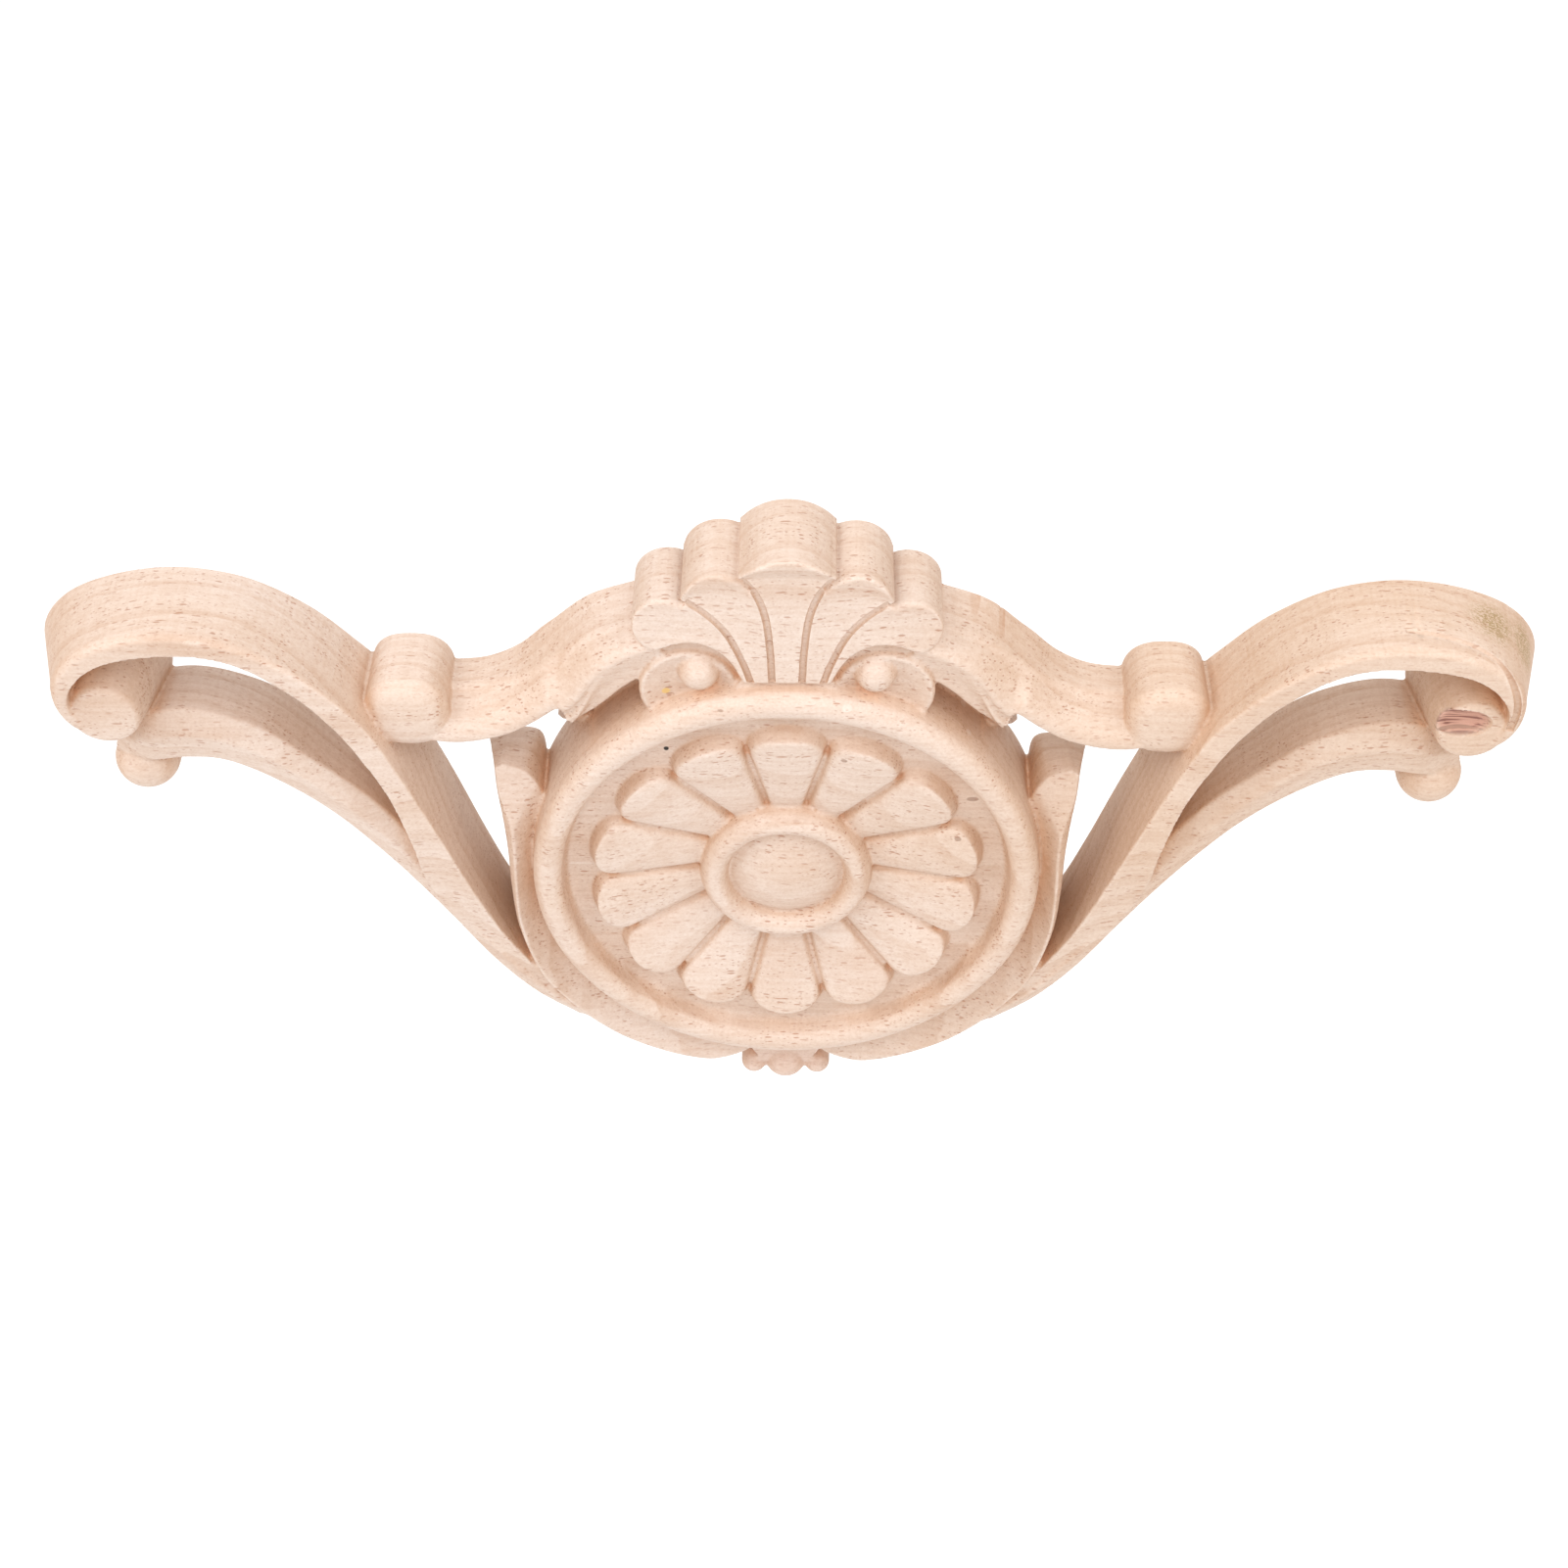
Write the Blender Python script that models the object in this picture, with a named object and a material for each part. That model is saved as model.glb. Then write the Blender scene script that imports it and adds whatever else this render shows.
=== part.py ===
"""Carved rubberwood applique: a flower rosette in a ring, a five-lobed shell above it and a pair of
scrolled arms, cut from one board and left bare.

The back lies in the plane y = 0 and faces +Y. The carving rises towards -Y, the shell is on top (+Z),
and the origin is the middle of the rosette on the back. Sizes below are millimetres. A place on the
front is written (out, up, rise): distance from the upright middle line, height above the rosette's
middle, and rise above the back. Both halves are carved from the same places, mirrored.
"""
import math

import bmesh
import bpy
from mathutils import Vector

MM = 0.001
BELOW = 1.5            # how far every block reaches behind the back before it is cut flat
BOARD = 22.0           # thickness of the board, the rise of the highest carving

# rosette
PETALS = 14
PETAL_REACH = 41.3     # middle to the face's edge at a petal's tip
PETAL_END_RADIUS = 8.0
PETAL_FLARE = 1.3      # how far the wall's foot stands out past that edge
PETAL_RISE = 20.9      # petal face at its tip
PETAL_INNER_RISE = 15.6  # petal face beside the boss
PETAL_CROWN = 1.1      # how much a petal bulges across
DISC_RISE = 16.2
DISC_INNER = 34.0      # inside this radius the flower's dish is sunk below the disc
DISH_RISE = 12.0
RING_VALLEY = 47.4     # where the disc meets the ring
RING_CREST = 50.7
RING_OUTER = 54.0
RING_FOOT = 54.6
RING_RISE = 22.0
BOSS_INNER = 12.4
BOSS_OUTER = 18.2
BOSS_RISE = 19.8
BOSS_CREASE_RISE = 16.0  # where the roll meets the dome
DOME_RISE = 19.6

# shell above the ring: lobe circles as (out, up, radius, rise)
SHELL_ROOT_UP = 54.0
SHELL_ROOT_RISE = 18.4
MIDDLE_LOBE = (0.0, 76.0, 11.6, 20.6)
SECOND_LOBE = (13.4, 75.0, 7.5, 18.6)
THIRD_LOBE = (23.9, 68.2, 7.0, 17.2)
INNER_GROOVE = [(3.0, 55.4), (3.3, 63.0), (4.2, 72.0), (6.2, 78.5), (9.2, 82.6)]
OUTER_GROOVE = [(7.1, 55.0), (8.8, 60.5), (11.7, 67.2), (15.5, 72.0), (20.0, 75.6)]
LOWER_RIM = [(9.0, 55.5), (11.5, 60.5), (15.5, 63.9), (20.6, 64.6), (27.0, 62.0)]
GROOVE_WIDTH = 1.5
GROOVE_DEPTH = 1.1
VOLUTE = (19.8, 51.3, 10.0, 16.2)    # flat plate round the eye
EYE = (17.7, 56.4, 4.3, 19.6)        # ball on that plate
BAND = [(0.0, 46.0), (26.0, 40.0), (26.5, 47.0), (12.0, 54.6), (0.0, 55.4)]
BAND_RISE = 17.4
COVE = [(8.6, 53.0), (20.0, 50.0), (30.0, 51.0), (29.5, 57.5), (25.4, 61.8), (18.0, 63.6), (11.6, 60.4)]
COVE_RISE = 15.0                     # hollow between the shell's lower rim and the volute

# arms: each edge as (out, up, rise, lean), where lean is how far the wall's foot stands out past the edge
SCROLL_OUTER = [(140.0, 38.8, 19.6, 1.0), (145.2, 42.6, 20.6, 4.0), (148.0, 48.6, 21.4, 7.4),
                (147.4, 55.8, BOARD, 6.6), (143.2, 62.0, BOARD, 3.8), (136.0, 66.2, BOARD, 1.4),
                (127.0, 68.4, BOARD, 0.4), (118.0, 68.3, BOARD), (108.2, 65.5, BOARD), (98.0, 59.0, BOARD),
                (90.0, 50.8, 21.8), (84.6, 42.6, 21.4, 1.5), (79.0, 28.6, 20.6, 3.4), (72.9, 11.4, 19.8, 2.8),
                (66.6, -7.0, 18.8, 2.4), (61.0, -20.6, 18.0, 1.8), (53.6, -33.2, 17.0, 1.0),
                (46.0, -42.0, 15.6), (36.0, -48.0, 14.4)]
SCROLL_INNER = [(141.4, 43.0, 19.6), (144.2, 46.6, 20.6), (144.6, 50.8, 21.4), (142.8, 55.2, BOARD),
                (139.0, 59.2, BOARD), (134.0, 61.7, BOARD), (126.0, 63.3, BOARD), (117.0, 63.4, BOARD),
                (108.2, 60.6, BOARD), (98.3, 52.6, 21.8), (92.6, 45.4, 21.6), (87.6, 36.6, 21.4),
                (82.6, 24.4, 20.8), (79.2, 10.0, 19.8), (76.4, -6.0, 17.6), (66.6, -26.6, 15.6),
                (57.4, -39.2, 15.2), (48.4, -47.0, 15.0), (37.0, -53.8, 14.6)]
ARM_UPPER = [(139.0, 35.0, 8.0), (131.0, 40.8, 13.0), (124.0, 42.4, 13.6), (116.0, 40.9, 13.8),
             (107.0, 36.5, 14.0), (98.0, 28.6, 14.2), (88.0, 19.0, 14.4), (79.0, 6.0, 14.6),
             (68.0, -14.0, 14.8), (54.0, -34.0, 15.0), (44.0, -44.0, 15.0)]
ARM_LOWER = [(139.0, 29.0, 7.6), (132.4, 27.6, 12.2), (125.0, 27.8, 12.6), (116.5, 27.2, 13.0),
             (106.1, 21.4, 13.2), (95.7, 12.5, 13.4), (85.4, 0.2, 13.8), (77.1, -11.4, 14.2),
             (66.8, -26.8, 14.8), (57.4, -39.4, 15.0), (46.6, -48.4, 15.0)]
ARM_CROWN = 1.2
KNOB = (135.3, 22.6, 6.8, 12.8)      # bead at the end of the lower arm
BUTTON = (138.4, 45.6, 7.2, 20.0)    # round end of the outer scroll
BUTTON_FOOT = 10.8
C_UPPER = [(76.0, 44.6, 8.0), (69.2, 45.0, 8.0), (62.0, 46.0, 8.0), (54.5, 49.8, 8.0),
           (46.0, 56.6, 8.0), (38.1, 63.0, 8.0), (28.0, 67.2, 8.0)]
C_LOWER = [(79.0, 38.4, 16.4), (73.4, 37.2, 16.8), (66.0, 37.0, 17.0), (57.7, 39.1, 17.0),
           (49.0, 43.8, 17.0), (42.8, 49.8, 16.6), (38.4, 55.4, 16.0), (28.0, 60.0, 15.4)]
C_CROWN = 1.8
KNUCKLE = (77.6, 43.4, 8.4, 17.6)    # round end of the C-scroll
FOLD_RIDGE = [(44.6, 40.9, 16.0), (43.1, 42.9, 16.5), (41.3, 46.4, 16.5), (39.4, 50.8, 16.5),
              (36.1, 55.8, 16.5), (31.0, 59.8, 16.5), (25.1, 62.7, 16.5)]
FOLD_FOOT = [(44.4, 40.6, 15.0), (41.8, 42.9, 15.0), (39.2, 44.9, 15.0), (36.5, 47.4, 15.0),
             (33.7, 50.3, 15.0), (30.0, 53.2, 15.0), (25.0, 56.0, 15.0)]

VALLEY = [(46.6, 46.0), (45.1, 42.0), (42.7, 44.6), (41.0, 48.4), (38.4, 53.0), (33.4, 57.6), (28.0, 60.4),
          (30.0, 64.0), (40.0, 58.0), (46.0, 50.0)]
VALLEY_RISE = 15.4                   # hollow between the C-scroll and the fold's ridge
FOLD_WEB_OUT = [(47.7, 31.0, 0.6), (46.5, 34.4, 5.6), (45.3, 37.8, 10.0), (44.2, 41.0, 15.0)]
FOLD_WEB_IN = [(42.0, 28.0, 0.6), (41.5, 32.0, 5.6), (42.2, 36.2, 10.0), (43.2, 40.2, 15.0)]

# low ground left between the ring, the fold and the shell: a closed floor
GROUND = [(4.0, 50.0), (30.0, 40.0), (45.9, 35.8), (45.3, 38.6), (42.0, 46.0), (37.0, 54.0), (28.0, 62.0),
          (18.0, 66.0), (8.0, 62.0)]
GROUND_RISE = 6.0

# husk that cups the ring, from the leaf tip down to the beads
HUSK_RIM = [(61.3, 25.4, 12.0, 3.0), (61.0, 20.4, 13.4, 1.0), (60.1, 12.6, 14.6), (59.5, 4.0, 15.6),
            (59.3, -6.0, 16.4), (58.3, -18.1, 16.8), (54.6, -32.1, 16.6), (49.3, -40.8, 16.4),
            (43.4, -47.8, 16.2), (36.2, -54.0, 16.0), (27.4, -58.6, 16.0), (20.7, -60.9, 15.8),
            (15.6, -61.4, 15.6), (10.1, -59.7, 15.0), (6.0, -57.0, 14.4)]
HUSK_VALLEY = [(59.4, 26.2, 12.6, 0.6), (54.6, 24.0, 13.0, 2.6), (51.4, 18.8, 13.6), (51.6, 10.0, 14.0),
               (52.8, -5.0, 14.2), (51.0, -14.6, 14.2), (45.4, -27.6, 14.2), (39.6, -35.4, 14.2),
               (34.4, -40.4, 14.2), (28.6, -44.5, 14.0), (21.6, -48.4, 14.0), (16.8, -50.2, 13.8),
               (12.4, -51.4, 13.6), (8.6, -52.2, 13.4), (4.6, -52.8, 13.2)]
BEADS = [(0.0, -67.6, 4.8, 14.8), (7.3, -68.2, 2.9, 13.6)]
BEAD_ROOT = [(-10.0, -52.0), (10.0, -52.0), (8.4, -60.0), (8.4, -67.0), (-8.4, -67.0), (-8.4, -60.0)]
BEAD_ROOT_RISE = 12.4

LONG_STEPS = 44


def clear_scene():
    """Start from an empty scene."""
    for thing in list(bpy.data.objects):
        bpy.data.objects.remove(thing, do_unlink=True)


def place(out, up, rise, side):
    """Millimetres on one half of the carving, as a point in metres."""
    return Vector((side * out, -rise, up)) * MM


def smooth(points, count):
    """Evenly spaced points along the rounded curve through the given ones."""
    knots = [Vector(tuple(p) + (0.0,) * (4 - len(p))) for p in points]
    knots = [2 * knots[0] - knots[1]] + knots + [2 * knots[-1] - knots[-2]]
    fine = []
    for a, b, c, d in zip(knots, knots[1:], knots[2:], knots[3:]):
        for k in range(24):
            t = k / 24
            fine.append(0.5 * (2 * b + (c - a) * t + (2 * a - 5 * b + 4 * c - d) * t * t
                               + (3 * b - a - 3 * c + d) * t ** 3))
    fine.append(knots[-2])
    lengths = [0.0]
    for a, b in zip(fine, fine[1:]):
        lengths.append(lengths[-1] + (b - a).length)
    result = []
    k = 0
    for i in range(count):
        want = lengths[-1] * i / (count - 1)
        while k < len(fine) - 2 and lengths[k + 1] < want:
            k += 1
        share = (want - lengths[k]) / max(lengths[k + 1] - lengths[k], 1e-9)
        result.append(fine[k].lerp(fine[k + 1], min(share, 1.0)))
    return result


def arc(out, up, radius, start, end, count):
    """Points on a circle. Angles are degrees from straight out, turning up."""
    angles = [math.radians(start + (end - start) * i / (count - 1)) for i in range(count)]
    return [(out + radius * math.cos(a), up + radius * math.sin(a)) for a in angles]


def solid(name, loops, closed=False):
    """A closed block through matching loops of points. Its two ends are capped unless it is closed."""
    mesh = bmesh.new()
    rings = [[mesh.verts.new(p) for p in loop] for loop in loops]
    pairs = list(zip(rings, rings[1:])) + ([(rings[-1], rings[0])] if closed else [])
    for one, other in pairs:
        for i in range(len(one)):
            j = (i + 1) % len(one)
            mesh.faces.new((one[i], one[j], other[j], other[i]))
    if not closed:
        mesh.faces.new(rings[0])
        mesh.faces.new(list(reversed(rings[-1])))
    bmesh.ops.remove_doubles(mesh, verts=mesh.verts, dist=0.00002)
    bmesh.ops.dissolve_degenerate(mesh, edges=mesh.edges, dist=0.00001)
    bmesh.ops.triangulate(mesh, faces=mesh.faces)
    bmesh.ops.recalc_face_normals(mesh, faces=mesh.faces)
    data = bpy.data.meshes.new(name)
    mesh.to_mesh(data)
    mesh.free()
    thing = bpy.data.objects.new(name, data)
    bpy.context.scene.collection.objects.link(thing)
    return thing


def ribbon(name, side, left, right, steps, crown=0.0, across=3):
    """A strip carved between two edges on the front, with walls down to the back.

    crown lifts the middle of the face."""
    loops = []
    for a, b in zip(smooth(left, steps), smooth(right, steps)):
        away = Vector((b.x - a.x, b.y - a.y)).normalized()
        loop = [place(a.x - away.x * a.w, a.y - away.y * a.w, -BELOW, side)]
        for k in range(across + 1):
            t = k / across
            p = a.lerp(b, t)
            loop.append(place(p.x, p.y, p.z + crown * 4 * t * (1 - t), side))
        loop.append(place(b.x + away.x * b.w, b.y + away.y * b.w, -BELOW, side))
        loops.append(loop)
    return solid(name, loops)


def prism(name, side, outline, rise):
    """A block on a plan outline. rise is a number, or a function of (out, up)."""
    height = rise if callable(rise) else lambda out, up: rise
    back = [place(x, z, -BELOW, side) for x, z in outline]
    front = [place(x, z, height(x, z), side) for x, z in outline]
    return solid(name, [back, front])


def turned(name, side, out, up, profile, count):
    """A round block turned about an axis square to the back. profile is (radius, rise), out to in."""
    loops = []
    for i in range(count):
        a = 2 * math.pi * i / count
        loops.append([place(out + r * math.cos(a), up + r * math.sin(a), rise, side)
                      for r, rise in profile])
    return solid(name, loops, closed=True)


def domed(name, side, spot, roundness, count=20, rings=3, foot=0.0):
    """A round post with a softly domed front. foot is its radius at the back, where it is wider there."""
    out, up, radius, rise = spot
    profile = [(0.001, -BELOW), (max(foot, radius), -BELOW)]
    for k in range(rings + 1):
        a = math.radians(90 * k / rings)
        r = radius - roundness + roundness * math.cos(a)
        profile.append((max(r, 0.001), rise - roundness + roundness * math.sin(a)))
    if radius > roundness:
        profile.append((0.001, rise))
    return turned(name, side, out, up, profile, count)


def rosette_plate():
    """Disc, ring and the ring's outer wall, turned as one."""
    half = (RING_OUTER - RING_VALLEY) / 2
    profile = [(0.001, -BELOW), (RING_FOOT, -BELOW), (RING_OUTER, RING_RISE - 1.5 * half)]
    for k in range(1, 6):
        a = math.radians(180 * k / 6)
        rise = RING_RISE - half + half * math.sin(a)
        profile.append((RING_CREST + half * math.cos(a), rise))
    profile += [(RING_VALLEY, DISC_RISE), (DISC_INNER, DISC_RISE), (DISC_INNER, DISH_RISE), (0.001, DISH_RISE)]
    return turned("plate", 1, 0.0, 0.0, profile, 72)


def boss():
    """Small ring with a dome inside it, at the flower's middle."""
    middle = (BOSS_INNER + BOSS_OUTER) / 2
    half = (BOSS_OUTER - BOSS_INNER) / 2
    profile = [(0.001, 10.0), (BOSS_OUTER, 10.0)]
    for k in range(7):
        a = math.radians(180 * k / 6)
        rise = BOSS_CREASE_RISE + (BOSS_RISE - BOSS_CREASE_RISE) * math.sin(a)
        profile.append((middle + half * math.cos(a), rise))
    for k in range(1, 5):
        r = BOSS_INNER * (1 - k / 4)
        rise = DOME_RISE - (DOME_RISE - BOSS_CREASE_RISE) * (r / BOSS_INNER) ** 2
        profile.append((max(r, 0.001), rise))
    return turned("boss", 1, 0.0, 0.0, profile, 28)


def flower():
    """The petals as one plate. Its edge and its face follow the petals round."""
    across = 6
    stations = 2
    centre = PETAL_REACH - PETAL_END_RADIUS
    loops = []
    for i in range(PETALS * across):
        turn = (i % across) / across - 0.5
        swing = 2 * math.pi / PETALS * turn
        chord = centre * math.sin(swing)
        edge = centre * math.cos(swing) + math.sqrt(PETAL_END_RADIUS ** 2 - chord ** 2)
        a = 2 * math.pi * (i / across - 0.5) / PETALS + math.pi / 2
        bulge = PETAL_CROWN * (1 - (2 * abs(turn)) ** 2)
        foot = edge + 1.3 * PETAL_FLARE
        loop = [(8.0, DISC_RISE - 6.0), (foot, DISC_RISE - 6.0), (foot, DISC_RISE - 1.4)]
        for k in range(stations + 1):
            t = k / stations
            r = edge + (BOSS_INNER + 1.7 - edge) * t
            slope = (r - BOSS_OUTER) / (PETAL_REACH - BOSS_OUTER)
            rise = PETAL_INNER_RISE + (PETAL_RISE - PETAL_INNER_RISE) * slope
            loop.append((r, rise - PETAL_CROWN + bulge))
        loop.append((8.0, DISC_RISE - 5.0))
        loops.append([place(r * math.cos(a), r * math.sin(a), rise, 1) for r, rise in loop])
    return solid("flower", loops, closed=True)


def lobe_rise(z, up, rise):
    """The shell's face rises evenly from its root to a lobe's middle."""
    share = min(max((z - SHELL_ROOT_UP) / (up - SHELL_ROOT_UP), 0.0), 1.0)
    return SHELL_ROOT_RISE + (rise - SHELL_ROOT_RISE) * share


def lobe(name, side, circle, low_rail, high_rail, start, end):
    """One shell lobe: between two grooves, with a round outer end."""
    out, up, radius, rise = circle
    low = [(p.x, p.y) for p in smooth(low_rail, 8)][:-1]
    high = [(p.x, p.y) for p in smooth(high_rail, 8)][:-1]
    outline = low + arc(out, up, radius, start, end, 11) + list(reversed(high))
    return prism(name, side, outline, lambda x, z: lobe_rise(z, up, rise))


def groove(name, side, rail, rises):
    """A V cutter laid along a groove of the shell."""
    points = smooth(rail, 9)
    loops = []
    for i, p in enumerate(points):
        ahead = points[min(i + 1, len(points) - 1)] - points[max(i - 1, 0)]
        across = Vector((-ahead.y, ahead.x)).normalized() * GROOVE_WIDTH / 2
        rise = rises[0] + (rises[1] - rises[0]) * i / (len(points) - 1)
        loops.append([place(p.x, p.y, rise - GROOVE_DEPTH, side),
                      place(p.x + 2 * across.x, p.y + 2 * across.y, rise + GROOVE_DEPTH, side),
                      place(p.x - 2 * across.x, p.y - 2 * across.y, rise + GROOVE_DEPTH, side)])
    return solid(name, loops)


def middle_lobe():
    """The shell's middle lobe, made from one groove and its mirror."""
    out, up, radius, rise = MIDDLE_LOBE
    rail = [(p.x, p.y) for p in smooth(INNER_GROOVE, 8)][:-1]
    cap = arc(out, up, radius, 34, 146, 13)
    outline = rail + cap + [(-x, z) for x, z in reversed(rail)]
    return prism("lobe.middle", 1, outline, lambda x, z: lobe_rise(z, up, rise))


def shell(side):
    """Two lobes, the volute and its eye on one side."""
    return [
        lobe("lobe.second", side, SECOND_LOBE, OUTER_GROOVE, INNER_GROOVE, 5, 116),
        lobe("lobe.third", side, THIRD_LOBE, LOWER_RIM, OUTER_GROOVE, -60, 116),
        prism("band", side, BAND, BAND_RISE),
        prism("cove", side, COVE, COVE_RISE),
        domed("volute", side, VOLUTE, 0.6, count=28, rings=2),
        domed("eye", side, EYE, 3.6),
    ]


def arm(side):
    """Everything on one side of the ring."""
    return [
        ribbon("scroll", side, SCROLL_OUTER, SCROLL_INNER, LONG_STEPS, across=2),
        ribbon("lower_arm", side, ARM_UPPER, ARM_LOWER, 22, crown=ARM_CROWN, across=2),
        domed("knob", side, KNOB, 6.8, count=18),
        domed("button", side, BUTTON, 2.4, foot=BUTTON_FOOT),
        ribbon("c_scroll", side, C_UPPER, C_LOWER, 16, crown=C_CROWN),
        domed("knuckle", side, KNUCKLE, 6.4),
        ribbon("fold", side, FOLD_RIDGE, FOLD_FOOT, 10, across=1),
        prism("ground", side, GROUND, GROUND_RISE),
        prism("valley", side, VALLEY, VALLEY_RISE),
        ribbon("web", side, FOLD_WEB_IN, FOLD_WEB_OUT, 5, across=1),
        ribbon("husk", side, HUSK_VALLEY, HUSK_RIM, 24, across=2),
    ]


def beads():
    """Three beads that hang below the ring."""
    parts = [domed("bead.middle", 1, BEADS[0], 4.8, count=16)]
    for side in (-1, 1):
        parts.append(domed("bead.side", side, BEADS[1], 2.9, count=12))
    parts.append(prism("bead.root", 1, BEAD_ROOT, BEAD_ROOT_RISE))
    return parts


def wood():
    """Bare rubberwood, sanded and unfinished."""
    material = bpy.data.materials.new("bare_rubberwood")
    material.use_nodes = True
    shader = material.node_tree.nodes["Principled BSDF"]
    shader.inputs["Base Color"].default_value = (0.80, 0.60, 0.44, 1.0)
    shader.inputs["Roughness"].default_value = 0.62
    shader.inputs["Metallic"].default_value = 0.0
    return material


def join_all(base, parts, name, operation):
    """Add or cut a whole group of blocks with one exact Boolean."""
    group = bpy.data.collections.new(name)
    bpy.context.scene.collection.children.link(group)
    for part in parts:
        bpy.context.scene.collection.objects.unlink(part)
        group.objects.link(part)
        part.hide_render = True
        part.display_type = "WIRE"
    change = base.modifiers.new(name, "BOOLEAN")
    change.operation = operation
    change.operand_type = "COLLECTION"
    change.collection = group
    change.solver = "EXACT"
    change.use_self = True


def build():
    """The whole carving as one solid named applique."""
    clear_scene()
    body = rosette_plate()
    body.name = "applique"
    raised = [flower(), boss(), middle_lobe()] + beads()
    cuts = []
    for side in (-1, 1):
        raised += shell(side) + arm(side)
        cuts.append(groove("cut.inner", side, INNER_GROOVE, (SHELL_ROOT_RISE, MIDDLE_LOBE[3])))
        cuts.append(groove("cut.outer", side, OUTER_GROOVE, (SHELL_ROOT_RISE, SECOND_LOBE[3])))
    back = [(-200.0, -120.0), (200.0, -120.0), (200.0, 120.0), (-200.0, 120.0)]
    cuts.append(solid("cut.back", [[place(x, z, -9.0, 1) for x, z in back],
                                   [place(x, z, 0.0, 1) for x, z in back]]))
    join_all(body, raised, "raised", "UNION")
    join_all(body, cuts, "cut", "DIFFERENCE")
    body.data.materials.append(wood())


build()
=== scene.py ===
"""The look of the carved rubberwood applique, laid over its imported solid.

Sizes are millimetres until a mesh is made. A place on the carving is written (out, up, rise): distance
from the upright middle line, height above the rosette's middle, and rise above the flat back.
"""

import math

import bmesh
import bpy
import numpy as np
from mathutils import Matrix, Vector
from mathutils.bvhtree import BVHTree


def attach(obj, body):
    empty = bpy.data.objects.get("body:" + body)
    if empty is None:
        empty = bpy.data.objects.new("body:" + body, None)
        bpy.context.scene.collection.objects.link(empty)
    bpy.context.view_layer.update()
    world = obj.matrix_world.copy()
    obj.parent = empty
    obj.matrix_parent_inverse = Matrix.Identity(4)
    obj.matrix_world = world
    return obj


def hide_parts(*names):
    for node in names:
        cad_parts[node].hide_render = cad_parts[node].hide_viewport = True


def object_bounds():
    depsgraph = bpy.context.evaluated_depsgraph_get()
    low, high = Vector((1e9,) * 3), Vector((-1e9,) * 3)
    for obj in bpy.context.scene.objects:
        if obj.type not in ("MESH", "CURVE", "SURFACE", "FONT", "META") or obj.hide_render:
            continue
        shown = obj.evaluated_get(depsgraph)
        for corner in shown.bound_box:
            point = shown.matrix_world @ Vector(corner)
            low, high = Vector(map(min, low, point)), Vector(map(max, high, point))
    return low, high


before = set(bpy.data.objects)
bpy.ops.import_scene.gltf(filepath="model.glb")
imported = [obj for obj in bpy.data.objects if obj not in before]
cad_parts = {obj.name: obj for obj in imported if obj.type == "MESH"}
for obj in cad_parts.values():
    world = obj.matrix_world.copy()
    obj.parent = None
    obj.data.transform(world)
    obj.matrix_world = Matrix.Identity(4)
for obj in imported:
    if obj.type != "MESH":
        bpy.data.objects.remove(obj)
cad_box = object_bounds()


# The board under the ring: one plank of rubberwood, 22 mm thick, turned down to a disc inside a raised
# ring. Every block of carving is drawn as a closed shape that reaches a little behind the back, and all
# of them are run together and cut flat at the back further on.
MM = 0.001
BEHIND = 1.5
BOARD = 22.0
DISC_RISE = 16.2
RING_VALLEY = 47.4
RING_CREST = 50.7
RING_OUTER = 54.0
RING_FOOT = 54.6
ON_AXIS = 0.001
DISC_INNER = 34.0
DISH_RISE = 12.0
blocks = []
cuts = []


def mesh_thing(name, points, faces):
    """An object at the origin from points in millimetres (x, y, z)."""
    data = bpy.data.meshes.new(name)
    data.from_pydata([tuple(p) for p in np.asarray(points) * MM], [], faces)
    thing = bpy.data.objects.new(name, data)
    bpy.context.scene.collection.objects.link(thing)
    return thing


def block(name, rows, side=1, closed=False):
    """A closed block through matching rows of (out, up, rise). Its ends are capped unless it is closed."""
    rows = np.array(rows, float)
    count, size = rows.shape[:2]
    points = np.stack([side * rows[..., 0], -rows[..., 2], rows[..., 1]], axis=-1).reshape(-1, 3)
    faces = []
    for i in range(count if closed else count - 1):
        j = (i + 1) % count
        for k in range(size):
            m = (k + 1) % size
            faces.append((i * size + k, i * size + m, j * size + m, j * size + k))
    if not closed:
        faces.append(tuple(range(size)))
        faces.append(tuple((count - 1) * size + k for k in reversed(range(size))))
    thing = mesh_thing(name, points, faces)
    work = bmesh.new()
    work.from_mesh(thing.data)
    bmesh.ops.remove_doubles(work, verts=work.verts, dist=0.00001)
    bmesh.ops.dissolve_degenerate(work, edges=work.edges, dist=0.000005)
    bmesh.ops.triangulate(work, faces=work.faces)
    bmesh.ops.recalc_face_normals(work, faces=work.faces)
    work.to_mesh(thing.data)
    work.free()
    return thing


def turned(name, out, up, profile, count, side=1):
    """A round block about an axis square to the back. profile runs (radius, rise) round the section."""
    angles = np.arange(count) * 2 * math.pi / count
    rows = [[(out + r * math.cos(a), up + r * math.sin(a), rise) for r, rise in profile] for a in angles]
    return block(name, rows, side, closed=True)


def bend(radius, rise, across, tall, start, end, count):
    """Points (radius, rise) on a rounded corner: centre, half sizes, angles in degrees."""
    angles = np.radians(np.linspace(start, end, count))
    return [(radius + across * math.cos(a), rise + tall * math.sin(a)) for a in angles]


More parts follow.
